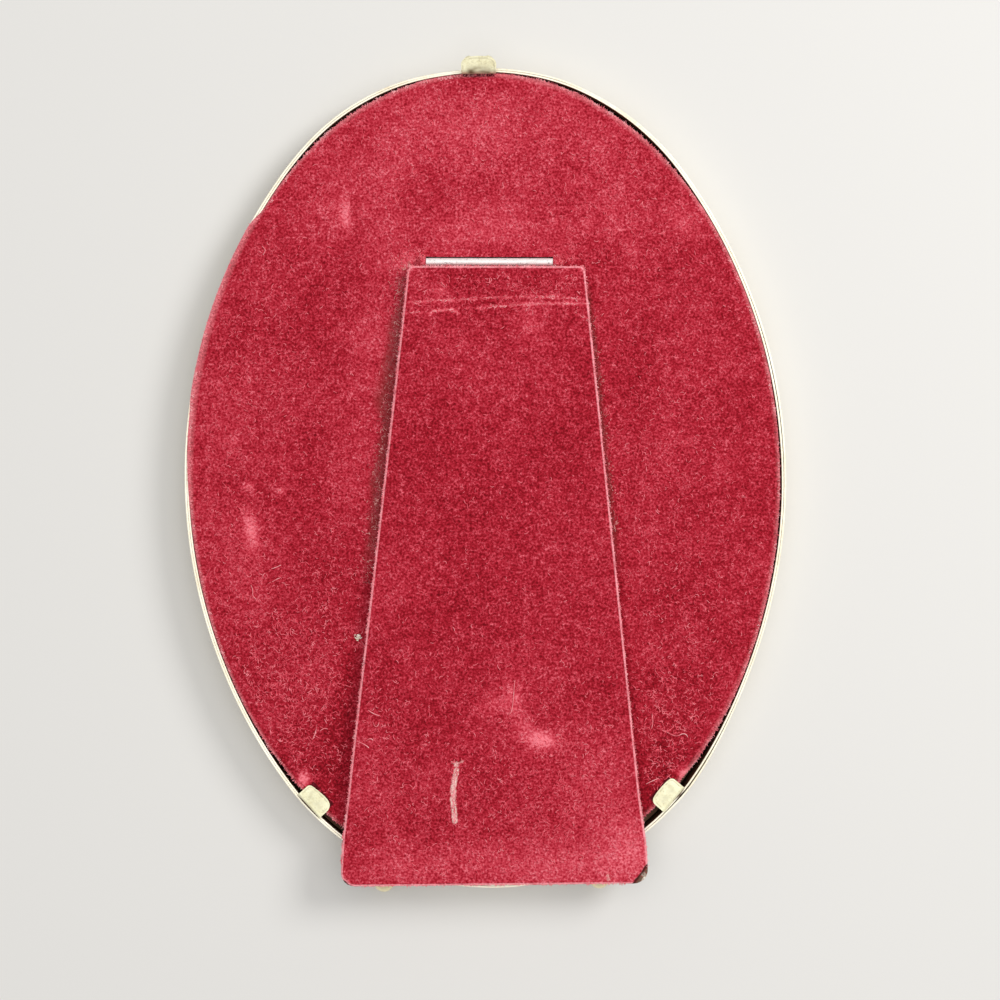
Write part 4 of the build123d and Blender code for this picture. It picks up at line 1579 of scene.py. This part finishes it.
def strandPiece(name, routes, radius, finish, body):
    curve = bpy.data.curves.new(name, "CURVE")
    curve.dimensions = "3D"
    curve.bevel_depth = radius
    curve.bevel_resolution = 0
    curve.use_fill_caps = True
    for route in routes:
        spline = curve.splines.new("POLY")
        spline.points.add(len(route) - 1)
        for number, place in enumerate(route):
            spline.points[number].co = (*place, 1)
            spline.points[number].radius = 1 - 0.5 * abs(2 * number / (len(route) - 1) - 1)**2
    holder = bpy.data.objects.new(name + "Lines", curve)
    bpy.context.scene.collection.objects.link(holder)
    bpy.context.view_layer.update()
    mesh = bpy.data.meshes.new_from_object(holder.evaluated_get(bpy.context.evaluated_depsgraph_get()))
    bpy.data.objects.remove(holder)
    mesh.name = name
    mesh.shade_smooth()
    return placePiece(name, mesh, paint[finish], body)


def curl(start, length, height, points=5, loops=1.0, lift=0.06 * mm):
    # a fibre that lies on the pile: its heading turns more and more one way
    heading = draw.uniform(0, 2 * math.pi)
    turn = draw.uniform(-1, 1) * loops
    place = Vector((start.x, start.y, 0))
    route = []
    for number in range(points):
        share = number / (points - 1)
        hump = lift * math.sin(math.pi * share)
        route.append(Vector((place.x, place.y, height(place) + hump)))
        heading += turn * (0.4 + share) + draw.uniform(-0.3, 0.3)
        place += Vector((math.cos(heading), math.sin(heading), 0)) * length / (points - 1)
    return route


def backHeight(place):
    return back["top"] + velvetRise(place.x, place.y) + coverRise(place) + fibreLift


def strutHeight(place):
    return strut["face"] + strutRise(place) + fibreLift


def onBack(place, margin):
    away = place - back["centre"]
    return math.hypot(away.x / (back["halfWidth"] - margin), away.y / (back["halfLength"] - margin)) < 1


def onStrut(place, margin):
    local = inHinge(place)
    if not strut["foot"] + margin < local.y < strut["top"] - margin:
        return False
    return strutEdgeX(-1, local.y, margin) < local.x < strutEdgeX(1, local.y, margin)


def inSlit(place, margin):
    local = inHinge(place)
    return abs(local.x) < slit["half"] + margin and slit["low"] - margin < local.y < slit["high"] + margin


# Where short fuzz lies thick: photo pixel, spread in pixels across and down, how many
backLintFields = [
    (285, 690, 32, 60, 900),
    (325, 620, 16, 90, 350),
    (240, 520, 25, 90, 350),
    (262, 330, 45, 60, 300),
    (665, 735, 22, 45, 450),
    (690, 600, 40, 90, 450),
    (650, 420, 34, 80, 300),
    (480, 130, 110, 34, 350),
    (640, 230, 50, 40, 200),
    (410, 262, 12, 8, 50),
    (572, 262, 10, 8, 20),
    (485, 480, 170, 230, 500),
]
strutLintFields = [
    (500, 820, 90, 40, 480),
    (390, 740, 20, 60, 220),
    (600, 760, 24, 60, 200),
    (510, 288, 60, 12, 220),
    (540, 720, 50, 50, 150),
    (490, 560, 70, 170, 420),
]
lint = {
    "radius": 0.09 * mm,
    "length": (0.4 * mm, 1.4 * mm),
    "fromEdge": 2 * mm,
    "fromStrut": 1.4 * mm,
    "fromSlit": 1.8 * mm,
    "strutEdge": 1.6 * mm,
    "fromCorner": 18,
}


def lintRoutes(fields, face, height, allowed):
    routes = []
    for u, v, wide, tall, count in fields:
        laid = 0
        while laid < count:
            place = fromPhoto(draw.gauss(u, wide), draw.gauss(v, tall), face)
            if allowed(place):
                routes.append(curl(place, draw.uniform(*lint["length"]), height))
                laid += 1
    return routes


def bareBack(place):
    if onStrut(place, -lint["fromStrut"]) or inSlit(place, lint["fromSlit"]):
        return False
    return onBack(place, lint["fromEdge"])


def bareStrut(place):
    return onStrut(place, lint["strutEdge"]) and pixelsFrom(place, wornCorner["spot"]) > lint["fromCorner"]


# Dusty lint caught along the strut's sides: side, from and to down the strut, how far it spreads, how many
dustBands = [
    (-1, -6 * mm, -72 * mm, 2.4 * mm, 420),
    (1, -12 * mm, -60 * mm, 1.2 * mm, 130),
    (-1, 1 * mm, -6 * mm, 3.0 * mm, 60),
]


dust = {"out": 0.6 * mm, "length": (0.3 * mm, 0.9 * mm), "fromSlit": 1.6 * mm, "fromEdge": 3 * mm}


def dustRoutes():
    routes = []
    for side, start, end, spread, count in dustBands:
        for _ in range(count):
            y = draw.uniform(start, end)
            out = dust["out"] + abs(draw.gauss(0, spread / 2))
            x = strutEdgeX(side, min(y, strut["top"]), 0) + side * out
            place = hingePlace @ Vector((x, y, 0))
            if not inSlit(place, dust["fromSlit"]) and onBack(place, dust["fromEdge"]):
                routes.append(curl(place, draw.uniform(*dust["length"]), backHeight, 4))
    return routes


# Frayed edges: short fibres that stand out past the sheet
fringe = {
    "radius": 0.06 * mm,
    "backCount": 3600,
    "backIn": (0.1 * mm, 0.6 * mm),
    "backLift": (-0.1 * mm, 0.06 * mm),
    "backLength": (0.25 * mm, 0.6 * mm),
    "backDroop": 0.06 * mm,
    "overLength": (0, 0.3 * mm),
    "overLift": 0.1 * mm,
    "strutCount": 3200,
    "strutLength": (0.2 * mm, 0.5 * mm),
    "footOut": (0.02 * mm, 0.3 * mm),
    "footDrop": (0, 0.12 * mm),
    "footDroop": 0.1 * mm,
    "sideIn": (0, 0.35 * mm),
    "sideDrop": (-0.02 * mm, 0.15 * mm),
    "sideDroop": (0.05 * mm, 0.25 * mm),
}


def frayedFibre(start, outward, length, droop):
    heading = outward + Vector((draw.uniform(-0.9, 0.9), draw.uniform(-0.9, 0.9), 0))
    heading.normalize()
    side = Vector((-heading.y, heading.x, 0)) * draw.uniform(-0.5, 0.5)
    route = []
    for number in range(4):
        share = number / 3
        route.append(start + (heading + side * share) * length * share - up * droop * share**2)
    return route


def backFringe():
    routes = []
    while len(routes) < fringe["backCount"]:
        angle = 2 * math.pi * draw.random()
        reach = Vector((back["halfWidth"] * math.cos(angle), back["halfLength"] * math.sin(angle), 0))
        edge = back["centre"] + reach
        outward = rimPlace(edge)[1]
        wear = bumpsRound(edgeWear, angleOf(outward))
        over = overRimShare(angleOf(outward))
        if draw.random() > 0.25 + 0.75 * max(wear, over):
            continue
        start = edge + outward * (backSwell(edge) - draw.uniform(*fringe["backIn"]))
        start.z = back["top"] + draw.uniform(*fringe["backLift"])
        length = draw.uniform(*fringe["backLength"]) + draw.uniform(*fringe["overLength"]) * over
        routes.append(frayedFibre(start, outward, length, fringe["backDroop"] - fringe["overLift"] * over))
    return routes


def footFibre():  # along the strut's foot, between its corners
    x = strut["shift"] + draw.uniform(-0.86, 0.86) * strut["footHalf"]
    spot = hingePlace @ Vector((x, strut["foot"], 0))
    spot.y += strut["footTilt"] * x / strut["footHalf"] - strut["footDrop"]
    spot.y += draw.uniform(*fringe["footOut"])
    spot.z = strut["face"] - draw.uniform(*fringe["footDrop"])
    heading = Vector((draw.choice((-1, 1)), -draw.uniform(0.1, 0.8), 0)).normalized()
    return frayedFibre(spot, heading, draw.uniform(*fringe["strutLength"]), fringe["footDroop"])


def sideFibre(side, y):  # along the strut's sides, or its top where the side is 0
    level = hingePlace.to_3x3()
    across, along = level @ Vector((1, 0, 0)), level @ Vector((0, 1, 0))
    if side:
        local = Vector((strutEdgeX(side, y, 0), y, 0))
        outward, run = across * side, along
    else:
        local = Vector((strut["shift"] + draw.uniform(-1, 1) * strut["topHalf"], strut["top"], 0))
        outward, run = along, across
    heading = outward * 0.5 + run * draw.choice((-1, 1)) * draw.uniform(0.3, 1.2)
    start = hingePlace @ local - outward * draw.uniform(*fringe["sideIn"])
    start.z = strut["face"] - draw.uniform(*fringe["sideDrop"])
    length = draw.uniform(*fringe["strutLength"])
    return frayedFibre(start, heading.normalized(), length, draw.uniform(*fringe["sideDroop"]))


def strutFringe():
    routes = []
    for number in range(fringe["strutCount"]):
        side = draw.choice((-1, -1, -1, 1, 1, 0))
        y = draw.uniform(strut["foot"] + 4 * mm, strut["top"])
        routes.append(sideFibre(side, y) if number % 7 else footFibre())
    return routes


# Tufts of pile on the velvet over the hinge's ears
tuft = {"count": 45, "inner": 14.4 * mm, "outer": 16.8 * mm, "near": -0.45 * mm, "far": 1.9 * mm,
        "lift": 0.12 * mm, "length": (0.25 * mm, 0.5 * mm)}


def tuftRoutes():
    routes = []
    for side in (-1, 1):
        for _ in range(tuft["count"]):
            x = side * draw.uniform(tuft["inner"], tuft["outer"])
            place = hingePlace @ Vector((x, draw.uniform(tuft["near"], tuft["far"]), 0))
            routes.append(curl(place, draw.uniform(*tuft["length"]), backHeight, 4, 1.0, tuft["lift"]))
    return routes


# Single hairs and threads, as routes in photo pixels, with how thick each is
backHairs = [
    ([(662, 730), (667, 732), (673, 735.5), (678, 736), (682, 733.5), (686, 734), (688, 737.5)], 0.14 * mm),
    ([(652, 713), (653, 722), (651.5, 729)], 0.1 * mm),
    ([(262, 246), (266, 250), (263, 255)], 0.09 * mm),
    ([(271, 569), (277, 567), (281, 565)], 0.13 * mm),
    ([(272, 582), (277, 579), (281, 577.5)], 0.1 * mm),
    ([(251, 585), (253, 590), (252.5, 596), (256, 599)], 0.1 * mm),
    ([(646, 784), (652, 781), (659, 778)], 0.09 * mm),
    ([(313, 739), (316, 731), (317, 724)], 0.08 * mm),
    ([(320, 731), (324, 728), (328, 729)], 0.09 * mm),
    ([(249, 487), (252, 486)], 0.16 * mm),
    ([(279, 490), (281, 490)], 0.16 * mm),
    ([(361, 641), (364.5, 645), (365.5, 650)], 0.1 * mm),
]
strutHairs = [
    ([(373, 722), (375, 727), (378, 726), (379, 722)], 0.12 * mm),
    ([(356, 741), (362, 743), (367, 746), (369, 748)], 0.1 * mm),
    ([(368, 710), (373, 713.5), (380, 716)], 0.09 * mm),
    ([(366, 741), (370, 738), (373, 740)], 0.09 * mm),
    ([(515, 680), (514, 688), (513.6, 698), (512.6, 706), (511, 713), (508.5, 714.5)], 0.12 * mm),
]


def hairRoutes(hairs, face, height):
    routes = []
    for pixels, thick in hairs:
        points = roundedPath([fromPhoto(u, v, face) for u, v in pixels], 2)
        routes.append([Vector((place.x, place.y, height(place) + thick / 2)) for place in points])
    return routes


# Broken pile along the creases and in the scraped streak
broken = {
    "perLength": 9 / mm,
    "halfMeant": 0.6 * mm,
    "spreadShare": 0.4,
    "short": 0.3 * mm,
    "long": 0.8 * mm,
    "lift": 0.02 * mm,
}


def brokenFibre(points, length, half, height):
    spot, direction = pathPlace(points, draw.uniform(0, length))
    spread = broken["spreadShare"] * half
    spot += Vector((draw.gauss(0, spread), draw.gauss(0, spread), 0))
    heading = direction * draw.choice((-1, 1))
    heading += Vector((draw.uniform(-1, 1), draw.uniform(-1, 1), 0)) * 0.5
    run = heading.normalized() * draw.uniform(broken["short"], broken["long"])
    places = [spot + run * number / 3 for number in range(4)]
    return [Vector((place.x, place.y, height(place) + broken["lift"])) for place in places]


def creaseRoutes(marks, height, face):
    routes = []
    for pixels, half, strength in marks:
        points = roundedPath([fromPhoto(u, v, face) for u, v in pixels], 3)
        length = sum((b - a).length for a, b in zip(points, points[1:]))
        count = round(length * broken["perLength"] * strength * half / broken["halfMeant"])
        routes += [brokenFibre(points, length, half, height) for _ in range(count)]
    return routes


# A scrap of white fibre caught beside the strut: photo pixel, spread in pixels
fleck = {"u": 358.2, "v": 637, "spread": 1.1, "count": 44, "length": 0.55 * mm, "layer": 0.016 * mm}


def fleckRoutes():
    routes = []
    for number in range(fleck["count"]):
        u, v = draw.gauss(fleck["u"], fleck["spread"]), draw.gauss(fleck["v"], fleck["spread"])
        lift = fleck["layer"] * number
        place = fromPhoto(u, v, back["top"])
        routes.append(curl(place, fleck["length"], lambda spot: backHeight(spot) + lift, 4, 1.4))
    return routes


# Every piece of loose fibre: its routes, how thick it is, its finish and what it rides on
strandPiece("backLint", lintRoutes(backLintFields, back["top"], backHeight, bareBack), lint["radius"],
            "lint", "frame")
strandPiece("strutLint", lintRoutes(strutLintFields, strut["face"], strutHeight, bareStrut), lint["radius"],
            "lint", "strut")
strandPiece("dustLint", dustRoutes(), 0.06 * mm, "dustLint", "frame")
strandPiece("backFringe", backFringe(), fringe["radius"], "fluff", "frame")
strandPiece("strutFringe", strutFringe(), fringe["radius"], "fluff", "strut")
strandPiece("hingeTufts", tuftRoutes(), 0.08 * mm, "lint", "frame")
strandPiece("whiteFleck", fleckRoutes(), 0.09 * mm, "fleck", "frame")
strandPiece("backHairs", hairRoutes(backHairs, back["top"], backHeight), 0.11 * mm, "fluff", "frame")
strandPiece("strutHairs", hairRoutes(strutHairs, strut["face"], strutHeight), 0.11 * mm, "fluff", "strut")
strandPiece("strutCreases", creaseRoutes(strutCreases + strutScrapes, strutHeight, strut["face"]), 0.06 * mm,
            "fluff", "strut")
print("fluff, fringes and creases laid")


# Strut leaf of the hinge: a tinned sheet rolled round the pin, with its flat leaf and its heel
roller = {"outer": 0.8 * mm, "inner": 0.44 * mm, "half": 14.1 * mm, "edge": 0.07 * mm, "sides": 48,
          "leafLength": 10.5 * mm, "leafBase": 9.2 * mm, "sheet": 0.4 * mm, "heel": 1.65 * mm,
          "heelInset": 0.6 * mm, "leafCorner": 2.5 * mm}


def sheetBlock(bm, low, high, turn=None):
    made = bmesh.ops.create_cube(bm, size=1)["verts"]
    size = high - low
    for vert in made:
        vert.co = Vector([low[i] + (vert.co[i] + 0.5) * size[i] for i in range(3)])
    if turn:
        bmesh.ops.rotate(bm, verts=made, cent=(0, 0, hinge["centre"].z), matrix=turn)
    return made


def hingeLeaf():
    bm = bmesh.new()
    pinZ = hinge["centre"].z
    half, edge = roller["half"], roller["edge"]
    profile = [
        (-half, roller["inner"]),
        (-half, roller["outer"] - edge),
        (-half + edge, roller["outer"]),
        (half - edge, roller["outer"]),
        (half, roller["outer"] - edge),
        (half, roller["inner"]),
    ]
    lathe(bm, [(x, 0, pinZ + radius) for x, radius in profile], (0, 0, pinZ), (1, 0, 0), roller["sides"],
          closed=True)
    base = roller["leafBase"]
    leafLow = Vector((-half, -roller["leafLength"], base))
    leaf = sheetBlock(bm, leafLow, Vector((half, 0, base + roller["sheet"])))
    corners = [e for e in bm.edges if all(v in leaf for v in e.verts)
               and abs(e.verts[0].co.y - e.verts[1].co.y) < 0.01 * mm
               and abs(e.verts[0].co.x - e.verts[1].co.x) < 0.01 * mm
               and e.verts[0].co.y < -roller["leafLength"] / 2]
    roundEdges(bm, corners, roller["leafCorner"], 8)
    heelHalf = half - roller["heelInset"]
    turn = Matrix.Rotation(math.radians(-60), 3, "X")
    sheetBlock(bm, Vector((-heelHalf, roller["inner"], pinZ - roller["sheet"] / 2)),
               Vector((heelHalf, roller["heel"], pinZ + roller["sheet"] / 2)), turn)
    bmesh.ops.transform(bm, matrix=hingePlace, verts=bm.verts)
    joinDoubles(bm)
    return asPiece("strutHinge", bm, paint["tin"], "strut", ["hinge_strut_leaf"])


hingeLeaf()
print("hinge rolled")


# Materials for the pieces whose CAD shape stays
kept = {
    "picture_card": "picture",
    "packing_card": "packing",
    "back_lining": "lining",
    "back_board": "board",
    "strut_lining": "strutLining",
    "hinge_back_leaf": "darkSteel",
    "hinge_pin": "darkSteel",
    "hinge_back_rivets": "rivet",
    "hinge_strut_rivets": "rivet",
}
for nodeName, finish in kept.items():
    nodes[nodeName].data.materials.clear()
    nodes[nodeName].data.materials.append(paint[finish])

# Floor, light and camera
studio = {
    "floorHalf": 0.9,
    "floor": rgb(226, 224, 220),
    "world": 0.46,
    "keyPower": 4.3,
    "keySize": 0.4,
    "keyFrom": Vector((0.62, 0.36, 0.62)),
    "overheadPower": 3.75,
    "overheadSize": 1.2,
    "overheadFrom": Vector((0.02, 0, 0.9)),
}


def makeFloor():
    bm = bmesh.new()
    bmesh.ops.create_grid(bm, x_segments=1, y_segments=1, size=studio["floorHalf"])
    material, tree, shader = newMaterial("paleFloor")
    setInputs(tree, shader, {"Base Color": studio["floor"], "Roughness": 0.9, "Specular IOR Level": 0.1})
    asPiece("floor", bm, material)


def softLight(name, power, size, place):
    light = bpy.data.lights.new(name, "AREA")
    light.energy = power
    light.shape = "DISK"
    light.size = size
    lamp = bpy.data.objects.new(name, light)
    lamp.location = place
    lamp.rotation_euler = (-place).to_track_quat("-Z", "Y").to_euler()
    bpy.context.scene.collection.objects.link(lamp)


def makeCamera():
    data = bpy.data.cameras.new("camera")
    data.lens = shot["lens"]
    data.sensor_width = shot["sensor"]
    camera = bpy.data.objects.new("camera", data)
    camera.location = (shot["x"], shot["y"], shot["height"])
    camera.rotation_euler = (0, 0, shot["turn"])
    bpy.context.scene.collection.objects.link(camera)
    bpy.context.scene.camera = camera


makeFloor()
softLight("key", studio["keyPower"], studio["keySize"], studio["keyFrom"])
softLight("overhead", studio["overheadPower"], studio["overheadSize"], studio["overheadFrom"])
world = bpy.data.worlds.new("studio")
world.use_nodes = True
world.node_tree.nodes["Background"].inputs["Color"].default_value = (1, 1, 1, 1)
world.node_tree.nodes["Background"].inputs["Strength"].default_value = studio["world"]
bpy.context.scene.world = world
makeCamera()
bpy.context.scene.view_settings.view_transform = "Standard"
print("studio set")
